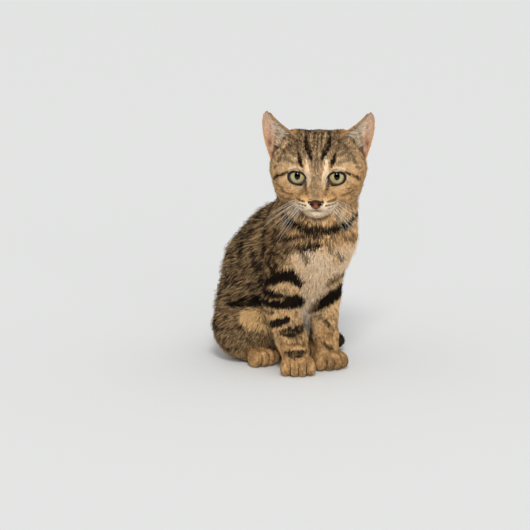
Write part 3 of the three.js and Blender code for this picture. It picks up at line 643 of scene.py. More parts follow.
def headColour(q, side, wander, fine):
    # ticked brown above, tan on the cheeks, white on the muzzle and chin
    m = mirrored(q)
    x, y, z = m[..., 0], m[..., 1], m[..., 2]
    crown = ramp(z + 0.45 * y - 0.42 * np.maximum(x - 14, 0), -13, 14)
    speckle = ramp(ripple(q * vec(1.6, 0.8, 0.7), 2.0, 31), -0.6, 0.6)
    temple = ramp(x, 15, 23) * ramp(z, -3, 6)
    golden = ramp(x, 15, 19) * ramp(z, 25, 28) * (1 - ramp(y, 14, 20))
    bars = ramp(np.sin(x * 2 * math.pi / 7.5 + 0.8 * wander), 0, 0.9) * (1 - golden)
    facing = 1 - ramp(y, -2, 16)
    bridge = (1 - ramp(x, 3.5, 6.5)) * ramp(z, -17, -12) * (1 - ramp(z, 12, 20))
    pads = 1 - ramp(egg(m, vec(8, -33, -23.5), (12.6, 13, 9.4)), -1.2, 1.8)
    chin = 1 - ramp(egg(q, vec(0, -25, -32.5), (13.5, 13, 7)), -1, 2.5)
    muzzle = mix(tints["muzzleTop"], tints["muzzleLow"], ramp(-z - 0.26 * x + 0.6 * fine, 12.6, 21))
    hairs = ripple(q * vec(1.7, 0.5, 0.45), 2.3, 33)
    colour = layered(tints["cheek"], [
        (mix(tints["crownDark"], tints["crownPale"], 0.1 + 0.84 * speckle), crown),
        (tints["temple"], temple * (0.25 + 0.3 * speckle)),
        (side, ramp(y, 4, 26)),
        (tints["earFoot"], golden * 0.8),
        (tones["black"] * 1.2, bars * 0.75 * ramp(y, -4, 6) * ramp(z, 8, 20)),
        (mix(tones["smoke"], tones["agouti"], 0.3 + 0.5 * speckle), bridge * facing * 0.8),
        (muzzle, np.maximum(pads, chin) * ramp(-z - 0.12 * x, 12.6, 15.4)),
        (tones["cream"], 0.42 * ramp(hairs, 0.4, 1.3) * facing),
        (tones["umber"], 0.5 * ramp(-hairs, 0.5, 1.4) * facing * crown),
    ])
    paint(colour, faceMarks, x + 0.3 * fine, z + 0.35 * wander, facing, 0.8, hairs)
    beads = 0.55 + 0.45 * ramp(np.sin(x * 2 * math.pi / 2.7), -0.5, 0.4)
    return layered(colour, [
        (tones["black"], stroke(x, z, [(*point, 0.85) for point in row], 0.5) * beads * strength * facing)
        for strength, row in whiskerRows
    ])


def bodyColours(p, back, left, up, wander, fine):
    # each kind of part in its own colour: dark ticked brown behind with wavering stripes down the sides,
    # white to sandy in front, rings round the thighs and the tail, tan legs and paws
    stripes = np.sin((back * 0.82 - 0.3 * (up - 70)) * 2 * math.pi / 13 + 1.3 * wander + 0.9 * np.sign(left))
    side = mix(tones["umber"] * 0.8, tones["agouti"], ramp(stripes + 0.5 * fine, -0.4, 1.2))
    side = mix(side, tones["black"] * 1.4, 0.6 * (1 - ramp(np.abs(left), 5, 13)))
    shoulder = ramp(back + 0.45 * np.abs(left) + 0.12 * (up - 80) + 2.5 * wander, 8, 26)
    under = (1 - ramp(up, 40, 78)) * (1 - ramp(np.abs(left), 14, 26)) * (1 - ramp(back, 30, 60))
    ruff = ramp(up, 122, 140) * (1 - ramp(back, 20, 40)) * ramp(-left, 2, 20)
    trunk = layered(mix(tints["chestSand"], tints["chestWhite"], ramp(wander + 0.6 * fine, -1.7, 0.1)), [
        (mix(tones["tan"] * 1.03, tones["agouti"], 0.65 * ramp(fine - wander, 0.1, 1.1)), ramp(up, 106, 120)),
        (side, shoulder),
        (tones["white"] * 1.03, under),
        (mix(tones["agouti"], tones["tan"], ramp(fine + wander, -0.8, 0.8)), 0.6 * ruff),
    ])
    rings = np.sin(np.hypot(back - 33, (up - 43) * 1.1) * 2 * math.pi / 15 - 1.2 + 0.9 * wander)
    leg = mix(tones["tan"], tones["sand"] * 1.03, ramp(fine + wander, -1, 1.4) * np.where(left > 0, 1.25, 1))
    paw = mix(tints["pawDark"], tints["pawPale"], ramp(0.6 * fine + wander, -1, 1.2))
    along = tailAlong[tailPlace(p)]
    bands = ramp(np.sin(along * 2 * math.pi * 8 + 0.5 * fine), -0.1, 0.8)
    return {
        "head": headColour(toHead(p), side, wander, fine), "neck": trunk, "trunk": trunk,
        "tail": mix(
            mix(tones["black"] * 1.3, tones["agouti"], bands), tones["umber"] * 0.75, ramp(along, 0.84, 0.9),
        ),
        "thigh": mix(tones["umber"] * 0.9, tones["agouti"] * 1.05, ramp(rings + 0.4 * fine, -0.2, 1.1)),
        "hind": paw, "arm": mix(leg, side, shoulder * ramp(up, 52, 76)), "paw": paw,
    }


def markings(p, share):
    # the coat's colour, part by part, then brush strokes laid over it in order, and painted shade between the
    # toes and low on the left forepaw
    back, left, up = toBody(p)
    wander, fine = ripple(p, 9, 3), ripple(p, 3.2, 4)
    parts = bodyColours(p, back, left, up, wander, fine)
    colour = sum(parts[kindOf(name)] * part[..., None] for name, part in share.items())
    trunkShare = share["trunk"] + share["neck"]
    arms = share["armLeft"] + share["armRight"]
    onFront = np.clip((1 - ramp(back, 8, 22)) * (trunkShare + 0.6 * arms), 0, 1)
    paint(colour, chestMarks, p[..., 0] + wander, p[..., 2] + 1.2 * fine, onFront)
    onSide = ramp(np.abs(left), 16, 26) * (trunkShare + share["thighLeft"] + share["thighRight"])
    paint(colour, flankMarks, back + 1.2 * wander, up + fine, onSide, 2.2)
    streaks = ripple(p * vec(1, 1, 0.3), 1.8, 35)
    for name, sign, marks in (("Right", -1, rightLegMarks), ("Left", 1, leftLegMarks)):
        upper = share["trunk"] * (1 - ramp(back + 4 * wander, 14, 28)) * ramp(left * sign, -1, 5)
        where = np.clip(share["arm" + name] + share["paw" + name] + upper, 0, 1) * (1 - ramp(up, 94, 100))
        paint(colour, marks, p[..., 0] + 0.8 * wander, p[..., 2] + 0.9 * fine, where, 0.8, 0.35 * streaks)
    onFoot = (1 - ramp(np.abs(np.abs(left) - 26), 11.5, 15)) * (1 - ramp(back + 3 * fine, 47, 56))
    instep = onFoot * (1 - ramp(up + fine, 14, 18.5)) * ramp(back, 22, 27)
    # painted shade in the gaps between the toes, laid on in black
    toeShade = np.zeros(p.shape[:-1])
    for name, sign in (("Left", 1), ("Right", -1)):
        leg = forelegs[name.lower()]
        toeShade += share["paw" + name] * toeGapShade(p, [c for c, _, _ in foreToes(leg)], leg["heading"])
        toeShade += share["hind" + name] * toeGapShade(p, [c for c, _, _ in hindToes(sign)], -toRear)
    colour = layered(colour, [(parts["paw"], instep), (tones["black"], toeShade * 0.85)])
    # painted shade: the left forepaw darker low down; the rest is random tone all over
    shade = 1 + 0.05 * fine + 0.04 * wander - 0.08 * share["pawLeft"] * (1 - ramp(up, 13, 22))
    return np.maximum(colour * shade[..., None], 0.02)


# the lie of the coat
def lieOf(p, normal, share):
    # which way the hair runs: back from the nose, down the neck and legs, back along the trunk and tail
    back, left = toBody(p)[:2]
    q = toHead(p)
    column = lambda value: np.asarray(value)[:, None]
    away = unit(q - vec(0, -42, -16)) @ headTurn.T + downward * column(ramp(q[..., 1], 2, 30) * 1.2)
    chest = 1 - ramp(back + 0.5 * np.abs(left), 4, 26)
    flow = toRear * column(0.9 * (1 - chest)) + downward * column(0.55 + 0.5 * chest)
    flow = flow + toLeft * column(np.sign(left) * 0.25 * chest)
    ways = {
        "head": away, "neck": flow * 0.4 + downward, "trunk": flow, "thigh": flow + downward * 0.5,
        "tail": unit(np.gradient(tailLine, axis=0))[tailPlace(p)],
        "arm": downward + toRear * 0.35, "hind": downward * 0.6 - toRear * 0.8,
        "pawLeft": forelegs["left"]["heading"] * 0.8 + downward * 0.6,
        "pawRight": forelegs["right"]["heading"] * 0.8 + downward * 0.6,
    }
    total = np.zeros(p.shape)
    for name, part in share.items():
        total += ways[name if name in ways else kindOf(name)] * column(part)
    swirl = np.stack([ripple(p, 16, 21 + axis) for axis in range(3)], -1)
    total = total + swirl * column(0.22 * (1 - 0.75 * share["head"]))
    total -= normal * np.sum(total * normal, -1, keepdims=True)
    return unit(total)


# the skin
skinGrid = {  # stretches of cell sizes along each axis
    "x": [(-93, 54, 0.9)],
    "y": [(-40, -4, 0.9), (-4, 30, 1.5), (30, 140, 2.4)],
    "z": [(-3, 28, 1.1), (28, 140, 2.2), (140, 222, 0.9)],
}


def makeSkin():
    verts, quads = surfaceNets(skinField, *[gridLines(skinGrid[axis]) for axis in "xyz"])
    d, slope = skinField(verts), slopeOf(skinField, verts)
    steep = np.maximum(np.sum(slope**2, -1), 0.3)
    verts -= slope * np.clip(d / steep, -0.4, 0.4)[:, None]
    return verts, quads, unit(slope)


# materials
def nodeGroup(name, inputs, outputs):
    group = bpy.data.node_groups.new(name, "ShaderNodeTree")
    for label, kind, value in inputs:
        item = group.interface.new_socket(name=label, in_out="INPUT", socket_type=kind)
        if value is not None:
            item.default_value = value
    for label, kind in outputs:
        group.interface.new_socket(name=label, in_out="OUTPUT", socket_type=kind)
    return group, group.nodes.new("NodeGroupInput"), group.nodes.new("NodeGroupOutput")


def addNode(tree, kind, **values):
    # a node with its settings; in_ stands before an input's name or number, and its value may be a socket
    node = tree.nodes.new("ShaderNode" + kind)
    for key, value in values.items():
        if not key.startswith("in_"):
            setattr(node, key, value)
            continue
        label = key[3:].replace("_", " ")
        socket = node.inputs[int(label) if label.isdigit() else label]
        if isinstance(value, bpy.types.NodeSocket):
            tree.links.new(value, socket)
        else:
            socket.default_value = value
    return node


def maths(tree, operation, **values):
    return addNode(tree, "Math", operation=operation, **values).outputs[0]


def vectorMaths(tree, operation, **values):
    node = addNode(tree, "VectorMath", operation=operation, **values)
    return node.outputs["Value" if operation == "LENGTH" else "Vector"]


def makeFurGrain():
    # fine light and dark ticking, and the height of lying hair
    group, start, end = nodeGroup("furGrain", [
        ("Colour", "NodeSocketColor", (0.5, 0.5, 0.5, 1)), ("Scale", "NodeSocketFloat", 1.0),
        ("Contrast", "NodeSocketFloat", 0.2),
    ], [("Colour", "NodeSocketColor"), ("Height", "NodeSocketFloat"), ("Roughness", "NodeSocketFloat")])
    place = addNode(group, "TexCoord").outputs["Object"]
    scaled = vectorMaths(group, "SCALE", in_0=place, in_3=start.outputs["Scale"])
    broad, fine = [
        addNode(group, "TexNoise", in_0=scaled, in_Scale=scale, in_Detail=detail).outputs[0]
        for scale, detail in ((260, 3.0), (1500, 2.0))
    ]
    spread = maths(group, "SUBTRACT", in_0=fine, in_1=0.5)
    spread = maths(group, "MULTIPLY", in_0=spread, in_1=start.outputs["Contrast"])
    gain = maths(group, "MULTIPLY_ADD", in_0=spread, in_1=2.0, in_2=1.0)
    results = {
        "Colour": vectorMaths(group, "SCALE", in_0=start.outputs["Colour"], in_3=gain),
        "Height": maths(group, "MULTIPLY", in_0=broad, in_1=fine),
        "Roughness": addNode(group, "MapRange", in_0=broad, in_3=0.58, in_4=0.78).outputs[0],
    }
    for label, socket in results.items():
        group.links.new(socket, end.inputs[label])
    return group


furGrain = makeFurGrain()


def newMaterial(name, **settings):
    material = bpy.data.materials.new(name)
    material.use_nodes = True
    tree = material.node_tree
    shader = tree.nodes["Principled BSDF"]
    for label, value in settings.items():
        shader.inputs[label.replace("_", " ")].default_value = value
    return material, tree, shader


def relief(tree, height, strength, distance):
    return addNode(tree, "Bump", in_Height=height, in_Strength=strength, in_Distance=distance).outputs[0]


def dress(tree, shader, **sockets):  # joins sockets to the shader's inputs, by name
    for label, socket in sockets.items():
        tree.links.new(socket, shader.inputs[label.replace("_", " ")])


def furMaterial(name, grainScale, contrast, bump, **settings):
    # the coat's own colour from its points, with ticking and a rough, slightly glossy surface
    material, tree, shader = newMaterial(name, **settings)
    colour = addNode(tree, "Attribute", attribute_name="coatColour").outputs["Color"]
    grain = addNode(tree, "Group", node_tree=furGrain,
                    in_Scale=grainScale, in_Contrast=contrast, in_Colour=colour)
    dress(tree, shader, Base_Color=grain.outputs["Colour"], Roughness=grain.outputs["Roughness"])
    if bump:
        dress(tree, shader, Normal=relief(tree, grain.outputs["Height"], bump, 0.0006))
    return material


skinMaterial = furMaterial("shortCoat", 1.0, 0.5, 0.8, Specular_IOR_Level=0.12)
coatMaterial = furMaterial("longCoat", 0.6, 0.45, 0, Specular_IOR_Level=0.14)


# the skin, in one piece from nose to tail
skinVerts, skinQuads, skinNormals = makeSkin()
skinShare = shares(regions(skinVerts))
skinColour = hairLight(markings(skinVerts, skinShare) * 0.9)
skin = meshObject("skin", skinVerts, skinQuads, skinColour, skinMaterial)
carry(skin, "coat", "head", "neck", "torso", "tail_root", "tail_middle", "tail_tip", *[
    f"{part}_{side}" for part in ("foreleg", "forepaw", "haunch", "hind_foot") for side in ("left", "right")
])
print("skin:", len(skinQuads) * 2, "triangles")


# where the scene is seen from, in millimetres and degrees; the eyes look that way
viewpoint = {"distance": 4000, "rise": 13, "target": vec(-43.9, 21.0, 90.9), "width": 456, "sensor": 36}
viewRise = math.radians(viewpoint["rise"])
cameraPlace = viewpoint["target"] + viewpoint["distance"] * vec(0, -math.cos(viewRise), math.sin(viewRise))


# eyes
eyeLook = {
    "iris": (0.72, 0.645, 0.49), "irisRim": (0.30, 0.26, 0.18), "white": (0.40, 0.36, 0.32),
    "irisRadius": 6.1, "pupilWidth": 4.8, "pupilHeight": 6.7, "pupilLift": 0.6,
    "corneaRadius": 6.6, "corneaHalfWidth": 4.9, "mapWidth": 24, "rings": 64, "spokes": 96,
    # how far the line of sight leaves the viewer, as a share of its length
    "lookOut": 0.05, "lookDown": 0.115,
}


def closedTurn(count):
    return np.linspace(0, 2 * math.pi, count + 1)[:-1]


def closedGrid(rows, cols):
    # quads over a grid that closes on itself both ways
    i, j = np.meshgrid(np.arange(rows), np.arange(cols), indexing="ij")
    a, b = i * cols + j, i * cols + (j + 1) % cols
    c, d = (i + 1) % rows * cols + (j + 1) % cols, (i + 1) % rows * cols + j
    return np.stack([a, b, c, d], -1).reshape(-1, 4)


def cappedGrid(rows, cols):
    # triangles over rings of points with one pole before the first ring and one after the last
    i, j = np.meshgrid(np.arange(rows - 1), np.arange(cols), indexing="ij")
    a, b = 1 + i * cols + j, 1 + i * cols + (j + 1) % cols
    c, d = b + cols, a + cols
    sides = np.concatenate([np.stack([a, b, c], -1).reshape(-1, 3), np.stack([a, c, d], -1).reshape(-1, 3)])
    ring = np.arange(cols)
    first = np.stack([np.zeros(cols, int), 1 + (ring + 1) % cols, 1 + ring], -1)
    last = 1 + (rows - 1) * cols
    end = np.stack([np.full(cols, last + cols), last + ring, last + (ring + 1) % cols], -1)
    return np.concatenate([first, sides, end])


def outward(verts, faces):
    # turns a closed mesh so that its faces point out, by the sign of its volume
    a, b, c = verts[faces[:, 0]], verts[faces[:, 1]], verts[faces[:, 2]]
    volume = np.sum(a * np.cross(b, c))
    if faces.shape[1] == 4:
        volume += np.sum(a * np.cross(c, verts[faces[:, 3]]))
    return faces if volume > 0 else faces[:, ::-1]


def makeEye(side, name, node):
    # a ball on its line of sight, under a rounder cap, the cornea, that meets the ball at its edge
    centre = onHead(eyeSetting(side)[0])
    sight = unit(unit(cameraPlace - centre) + vec(side * eyeLook["lookOut"], 0, -eyeLook["lookDown"]))
    across = unit(np.cross(vec(0, 0, 1), sight))
    above = np.cross(sight, across)
    rings, spokes, mapWidth = eyeLook["rings"], eyeLook["spokes"], eyeLook["mapWidth"]
    polar = np.linspace(0, math.pi, rings + 2)[1:-1]
    a, b = [g.ravel() for g in np.meshgrid(polar, closedTurn(spokes), indexing="ij")]
    a, b = np.concatenate([[0], a, [math.pi]]), np.concatenate([[0], b, [0]])
    radius = headSizes["eyeRadius"] - 0.15
    cap, edge = eyeLook["corneaRadius"], eyeLook["corneaHalfWidth"]
    ahead = math.sqrt(radius**2 - edge**2) - math.sqrt(cap**2 - edge**2)
    reach = np.maximum(radius, ahead * np.cos(a) + np.sqrt(cap**2 - (ahead * np.sin(a)) ** 2))
    x, z = np.sin(a) * np.cos(b), np.sin(a) * np.sin(b)
    verts = centre + (x * reach)[:, None] * across + (z * reach)[:, None] * above
    verts = verts + (np.cos(a) * reach)[:, None] * sight
    uv = np.stack([x * radius / mapWidth + 0.5, z * radius / mapWidth + 0.5], -1)
    faces = outward(verts, cappedGrid(rings, spokes))
    carry(meshObject(name, verts, faces, None, eyeMaterial, uv, mapName="eyeMap"), "eye", node)


def makeEyeMaterial():
    # rings and fine spokes round an upright oval pupil, under a clear wet coat
    look = eyeLook
    material, tree, shader = newMaterial(
        "wetEye", Roughness=0.4, Specular_IOR_Level=0.0, Coat_Weight=0.6, Coat_Roughness=0.02)
    place = addNode(tree, "UVMap", uv_map="eyeMap").outputs[0]
    width, reach = look["mapWidth"], look["mapWidth"] / 3  # the colour band runs this far from the middle
    centred = vectorMaths(tree, "MULTIPLY_ADD",
                          in_0=place, in_1=(width, width, 0), in_2=(-width / 2, -width / 2, 0))
    radius = vectorMaths(tree, "LENGTH", in_0=centred)
    pupil = vectorMaths(tree, "LENGTH", in_0=vectorMaths(
        tree, "MULTIPLY_ADD", in_0=centred, in_1=(2 / look["pupilWidth"], 2 / look["pupilHeight"], 0),
        in_2=(0, -2 * look["pupilLift"] / look["pupilHeight"], 0)))
    way = vectorMaths(tree, "NORMALIZE", in_0=centred)
    spokes = addNode(tree, "TexNoise", in_0=way, in_Scale=9, in_Detail=4.0).outputs[0]
    rings = addNode(tree, "TexNoise", in_0=centred, in_Scale=0.9, in_Detail=3.0).outputs[0]
    both = maths(tree, "ADD", in_0=spokes, in_1=rings)
    shade = addNode(tree, "MapRange", in_0=both, in_1=0.75, in_2=1.25, in_3=0.72, in_4=1.16).outputs[0]
    band = addNode(tree, "ValToRGB", in_0=maths(tree, "DIVIDE", in_0=radius, in_1=reach))
    edge = look["irisRadius"] / reach
    stops = [
        (0.0, look["iris"]), (0.30, np.multiply(look["iris"], (0.93, 0.99, 0.84))), (0.62, look["iris"]),
        (0.73, np.multiply(look["iris"], 0.82)), (edge, look["irisRim"]), (edge + 0.06, look["white"]),
    ]
    elements = band.color_ramp.elements
    while len(elements) < len(stops):
        elements.new(0.5)
    for element, (where, colour) in zip(elements, stops):
        element.position, element.color = where, (*linear(colour), 1)
    tinted = vectorMaths(tree, "SCALE", in_0=band.outputs[0], in_3=shade)
    dark = addNode(tree, "MapRange", in_0=pupil, in_1=0.94, in_2=1.06).outputs[0]
    dress(tree, shader, Base_Color=vectorMaths(tree, "SCALE", in_0=tinted, in_3=dark))
    return material


eyeMaterial = makeEyeMaterial()
makeEye(1, "eyeLeft", "eye_left")
makeEye(-1, "eyeRight", "eye_right")
print("eyes")


# lids: a dark rim that rides on the ball and runs out under the coat
lidLook = {"rimWidth": 1.6, "topLift": 0.35, "spokes": 96}
# how far outside the opening, how far over the ball, and the level over the skin, if that leads
lidSection = [
    (0.6, -0.5, None), (0.1, 0.0, None), (-0.15, 0.3, None), (0.1, 0.75, None), (0.7, 1.0, 0.35),
    (1.4, 0, 0.28), (2.2, 0, 0.05), (3.2, 0, -0.5), (2.4, 0, -1.6), (1.2, -0.9, None),
]


def makeLids(side, name):
    # a closed band: its section starts under the rim's edge, rises over it and ends below the skin
    turn = closedTurn(lidLook["spokes"])
    ahead = eyeSetting(side)[1] @ headTurn.T
    topLift = lidLook["topLift"] * np.maximum(0, np.sin(turn)) ** 2
    rows = []
    for grow, lift, level in lidSection:
        place = onHead(eyeRim(side, turn, grow, headSizes["eyeRadius"] + lift + topLift))
        if level is not None:  # brought to its level along the eye's line, or half way there
            settled = place.copy()
            for _ in range(10):
                settled -= ahead * ((faceBase(settled) - level) * 0.85)[:, None]
            place = settled if lift == 0 else (place + settled) / 2
        rows.append(place)
    verts = np.concatenate(rows)
    grow = np.repeat([section[0] for section in lidSection], len(turn))
    rim = 1 - ramp(grow, lidLook["rimWidth"] - 0.4, lidLook["rimWidth"] + 0.3)
    colour = mix(markings(verts, shares(regions(verts))), tones["lidRim"], rim)
    faces = outward(verts, closedGrid(len(lidSection), len(turn)))
    carry(meshObject(name, verts, faces, hairLight(colour), lidMaterial), "coat")


lidMaterial = furMaterial("lidRim", 1.4, 0.25, 0.3, Specular_IOR_Level=0.4, Coat_Weight=0.1)
for side, name in ((1, "lids_left"), (-1, "lids_right")):
    makeLids(side, name)
print("lids")


# nose leather
noseSizes = {
    "front": -42.3, "drop": -0.8, "cell": 0.33,
    "low": vec(0, -44, -27), "high": vec(0, -31, -13), "half": vec(9, 0, 0),  # the box it is meshed in
}


def noseField(p):
    q = toHead(p) - vec(0, 0, noseSizes["drop"])
    m = mirrored(q)
    y = noseSizes["front"]
    dome = cone(q, vec(0, y + 2.9, -18.0), vec(0, y + 2.6, -22.0), 3.0, 1.6)
    shoulder = cone(m, vec(2.2, y + 2.9, -18.2), vec(5.0, y + 3.6, -17.8), 2.3, 1.75)
    alar = cone(m, vec(5.3, y + 3.4, -18.6), vec(1.1, y + 2.6, -22.4), 1.4, 1.15)
    full = blendAll([dome, shoulder, alar], 1.6)
    nostril = cone(m, vec(2.6, y + 0.2, -19.7), vec(5.3, y + 1.7, -18.7), 0.95, 0.6)
    cleft = cone(q, vec(0, y - 0.3, -19.8), vec(0, y + 0.9, -24.0), 0.35, 0.45)
    return -blend(-full, np.minimum(nostril, cleft), 0.7)


def makeNose():
    low, high = onHead(noseSizes["low"]) - noseSizes["half"], onHead(noseSizes["high"]) + noseSizes["half"]
    ends = zip(np.minimum(low, high), np.maximum(low, high))
    lines = [np.arange(a, b, noseSizes["cell"]) for a, b in ends]
    verts, quads = surfaceNets(noseField, *lines, band=3)
    q = toHead(verts) - vec(0, 0, noseSizes["drop"])
    x, z = np.abs(q[:, 0]), q[:, 2]
    pink = (1 - ramp(np.hypot(x / 3.6, (z + 20.6) / 2.8), 0.5, 1.25)) * (1 + 0.15 * ripple(verts, 1.5, 41))
    y = noseSizes["front"]
    # painted shade: the hollows of the nostrils are coloured near black
    hollow = cone(mirrored(q), vec(2.6, y + 0.8, -19.7), vec(5.3, y + 1.7, -18.7), 1.0, 0.6)
    colour = layered(mix(tones["noseLow"], tones["noseTop"], ramp(z, -20, -17.5)), [
        (tones["nosePink"], np.clip(pink, 0, 1)), (tones["nostril"], 1 - ramp(hollow, -0.1, 0.5)),
    ])
    piece = meshObject("noseLeather", verts, outward(verts, quads), linear(colour), noseMaterial)
    carry(piece, "nose_leather", "nose")


def makeNoseMaterial():
    # pebbled, slightly moist leather
    material, tree, shader = newMaterial("noseLeather", Specular_IOR_Level=0.22)
    colour = addNode(tree, "Attribute", attribute_name="coatColour").outputs["Color"]
    place = addNode(tree, "TexCoord").outputs["Object"]
    pebble = addNode(tree, "TexVoronoi", in_Vector=place, in_Scale=2100).outputs["Distance"]
    shade = addNode(tree, "MapRange", in_0=pebble, in_3=0.85, in_4=1.1).outputs[0]
    rough = addNode(tree, "MapRange", in_0=pebble, in_3=0.5, in_4=0.68).outputs[0]
    dress(tree, shader, Base_Color=vectorMaths(tree, "SCALE", in_0=colour, in_3=shade), Roughness=rough,
          Normal=relief(tree, pebble, 0.5, 0.0002))
    return material


noseMaterial = makeNoseMaterial()
makeNose()
print("nose")


# ears
earSizes = {"up": 56, "across": 44, "cup": 15, "wall": 0.75, "round": 0.84, "top": 0.925}
earInner = [vec(17.5, -4, 27), vec(25.5, 0, 35.5), vec(36, 5, 36.5), vec(45, 8, 50.8)]
earOuter = [vec(38.5, -3, 4), vec(44.5, -2, 19), vec(51, 3, 38), vec(45, 8, 50.8)]


def bezier(points, t):
    a, b, c, d = points
    t = np.asarray(t)[..., None]
    return a * (1 - t) ** 3 + 3 * b * t * (1 - t) ** 2 + 3 * c * t**2 * (1 - t) + d * t**3


def earSurface(side, u, v, wall=0.0):
    # between the two edge curves, bowed back into a cup: u runs up from 0 to 1, v across from -1 to 1
    arch = 1 - v**2
    start, top = earSizes["round"], earSizes["top"]  # the tip is rounded off between these
    v = v * np.sqrt(np.clip(1 - (np.maximum(u - start, 0) / (top - start)) ** 2, 0, 1))
    edge = (v + 1) / 2
    flat = bezier(earInner, u) * (1 - edge)[..., None] + bezier(earOuter, u) * edge[..., None]
    bow = earSizes["cup"] * (1 - u) ** 0.8 * arch
    thick = wall * (0.35 + np.sqrt(arch)) * (1 - 0.55 * u)
    q = flat + np.stack([-0.15 * bow, bow + thick, 0.05 * bow], -1)
    return onHead(q * vec(side, 1, 1))


def earColour(u, v, front):
    # pink and pale inside with painted shade deep in the cup and a golden rim, brown behind with a lighter
    # patch
    n = np.stack([u * 30, v * 14, u * 0 + 7.0 * front], -1)
    blotch = ripple(n, 5, 51)
    if front:
        # painted shade: dark brown deep in the cup near its foot
        deep = (1 - ramp(u + 0.06 * blotch, 0.16, 0.34)) * ramp(v, -0.1, 0.4)
        inner = 1 - ramp(v + 0.9 * u + 0.15 * blotch, -0.55, 0.35)
        colour = layered(mix(tones["earPink"], tones["earPale"], ramp(u + 0.2 * blotch, 0.1, 0.8)), [
            (tones["earHollowShade"], deep * 0.92), (tones["earInner"], inner * 0.9),
        ])
    else:
        spot = 1 - ramp(np.hypot((u - 0.35) / 0.25, v / 0.5), 0.6, 1.2)
        colour = mix(tones["umber"], tones["agouti"], 0.5 + 0.3 * blotch)
        colour = mix(colour, tones["sand"] * 0.85, 0.45 * spot)
    return np.clip(mix(colour, tones["earRim"], ramp(np.abs(v), 0.86, 0.97) * 0.85), 0.02, 1)


def makeEar(side, name, node):
    # two sheets a wall apart, closed along their edges; the lines crowd together towards tip and rims
    rows, cols = earSizes["up"] + 1, earSizes["across"] + 1
    u = 0.999 * earSizes["top"] * np.sin(np.linspace(0, 1, rows) * math.pi / 2)
    u, v = np.meshgrid(u, np.linspace(-1, 1, cols), indexing="ij")
    v = np.sin(v * math.pi / 2) * 0.35 + v * 0.65
    front, rear = earSurface(side, u, v, -earSizes["wall"]), earSurface(side, u, v, earSizes["wall"])
    verts = np.concatenate([front.reshape(-1, 3), rear.reshape(-1, 3)])
    colour = np.concatenate([earColour(u, v, 1).reshape(-1, 3), earColour(u, v, 0).reshape(-1, 3)])
    i, j = np.meshgrid(np.arange(rows - 1), np.arange(cols - 1), indexing="ij")
    a = (i * cols + j).ravel()
    half = rows * cols
    sheet = np.stack([a, a + 1, a + 1 + cols, a + cols], -1)
    edge = np.arange(rows - 1) * cols
    left = np.stack([edge, edge + cols, half + edge + cols, half + edge], -1)
    right = np.stack([edge, half + edge, half + edge + cols, edge + cols], -1) + cols - 1
    foot = np.arange(cols - 1)
    bottom = np.stack([foot, half + foot, half + foot + 1, foot + 1], -1)
    top = bottom[:, ::-1] + (rows - 1) * cols
    quads = np.concatenate([sheet, half + sheet[:, ::-1], left, right, bottom, top])
    piece = meshObject(name, verts, outward(verts, quads), linear(colour), earMaterial)
    carry(piece, "ear_skin", node)


earMaterial = furMaterial("earSkin", 1.6, 0.22, 0.35,
                          Specular_IOR_Level=0.3, Subsurface_Weight=0.15, Subsurface_Scale=0.004)
makeEar(1, "earLeft", "ear_left")
makeEar(-1, "earRight", "ear_right")
print("ears")


# tufts: thin closed spikes along a bent path
def spikes(name, paths, across, above, widths, colours, charts, material, flat=0.45):
    # paths has k places for each tuft; every place but the last carries a ring of three corners
    n, k = paths.shape[:2]
    rings = np.stack([
        paths[:, :-1] + (dx * across[:, None] + dz * flat * above[:, None]) * widths[..., None]
        for dx, dz in ((-0.5, 0), (0.5, 0), (0, 1))
    ], 2)
    verts = np.concatenate([rings.reshape(n, -1, 3), paths[:, -1:]], 1)
    tone = np.concatenate([np.repeat(colours[:, :-1], 3, 1), colours[:, -1:]], 1)
    count = 3 * (k - 1) + 1
    faces = [(0, 2, 1)]
    for ring in range(k - 2):
        for i in range(3):
            a, b = 3 * ring + i, 3 * ring + (i + 1) % 3
            faces += [(a, b, b + 3), (a, b + 3, a + 3)]
    last = 3 * (k - 2)
    faces += [(last + i, last + (i + 1) % 3, count - 1) for i in range(3)]
    faces = np.array(faces)
    # each tuft's patch of the map: its rings nested round its tip, its hidden root set aside
    size = 0.0015 * (1 - np.arange(k - 1) / (k - 0.6))  # as a share of the map
    turn = np.radians([90, 210, 330])
    patch = np.stack([np.outer(size, np.cos(turn)).ravel(), np.outer(size, np.sin(turn)).ravel()], -1)
    patch = np.vstack([patch, [[0, 0]]])[faces]
    patch[0] = [[0.0014, -0.0013], [0.0015, -0.0013], [0.0014, -0.0014]]
    uv = (charts[:, None, None] + patch[None]).reshape(-1, 2)
    faces = (np.arange(n)[:, None, None] * count + faces[None]).reshape(-1, 3)
    return meshObject(name, verts.reshape(-1, 3), faces, hairLight(tone.reshape(-1, 3)), material, uv)


def chartOf(p, axis, origin):
    # unrolls round an axis: the turn about it across the map, the place along it up the map
    side = unit(np.cross(axis, vec(0.1, 0.2, 1) if abs(axis[2]) < 0.9 else vec(0, 1, 0)))
    other = np.cross(axis, side)
    r = p - origin
    turn = np.arctan2(r @ side, r @ other) / (2 * math.pi) + 0.5
    along = r @ axis
    along = (along - along.min()) / max(np.ptp(along), 1e-6)
    return 0.01 + 0.98 * np.stack([turn, along], -1)


def clumpsOf(roots, size):  # the number of each root's clump, clumps being the cells of a wavering grid
    bent = roots / size + np.stack([0.5 * ripple(roots, size * 2.5, 61 + i) for i in range(3)], -1)
    return np.unique(np.floor(bent).astype(int), axis=0, return_inverse=True)[1].ravel()


def gathered(tips, clump, pull):  # tips drawn towards the middle of their clump
    count = np.bincount(clump)[clump]
    centre = np.stack([np.bincount(clump, tips[:, i])[clump] / count for i in range(3)], -1)
    return tips + (centre - tips) * pull[:, None]


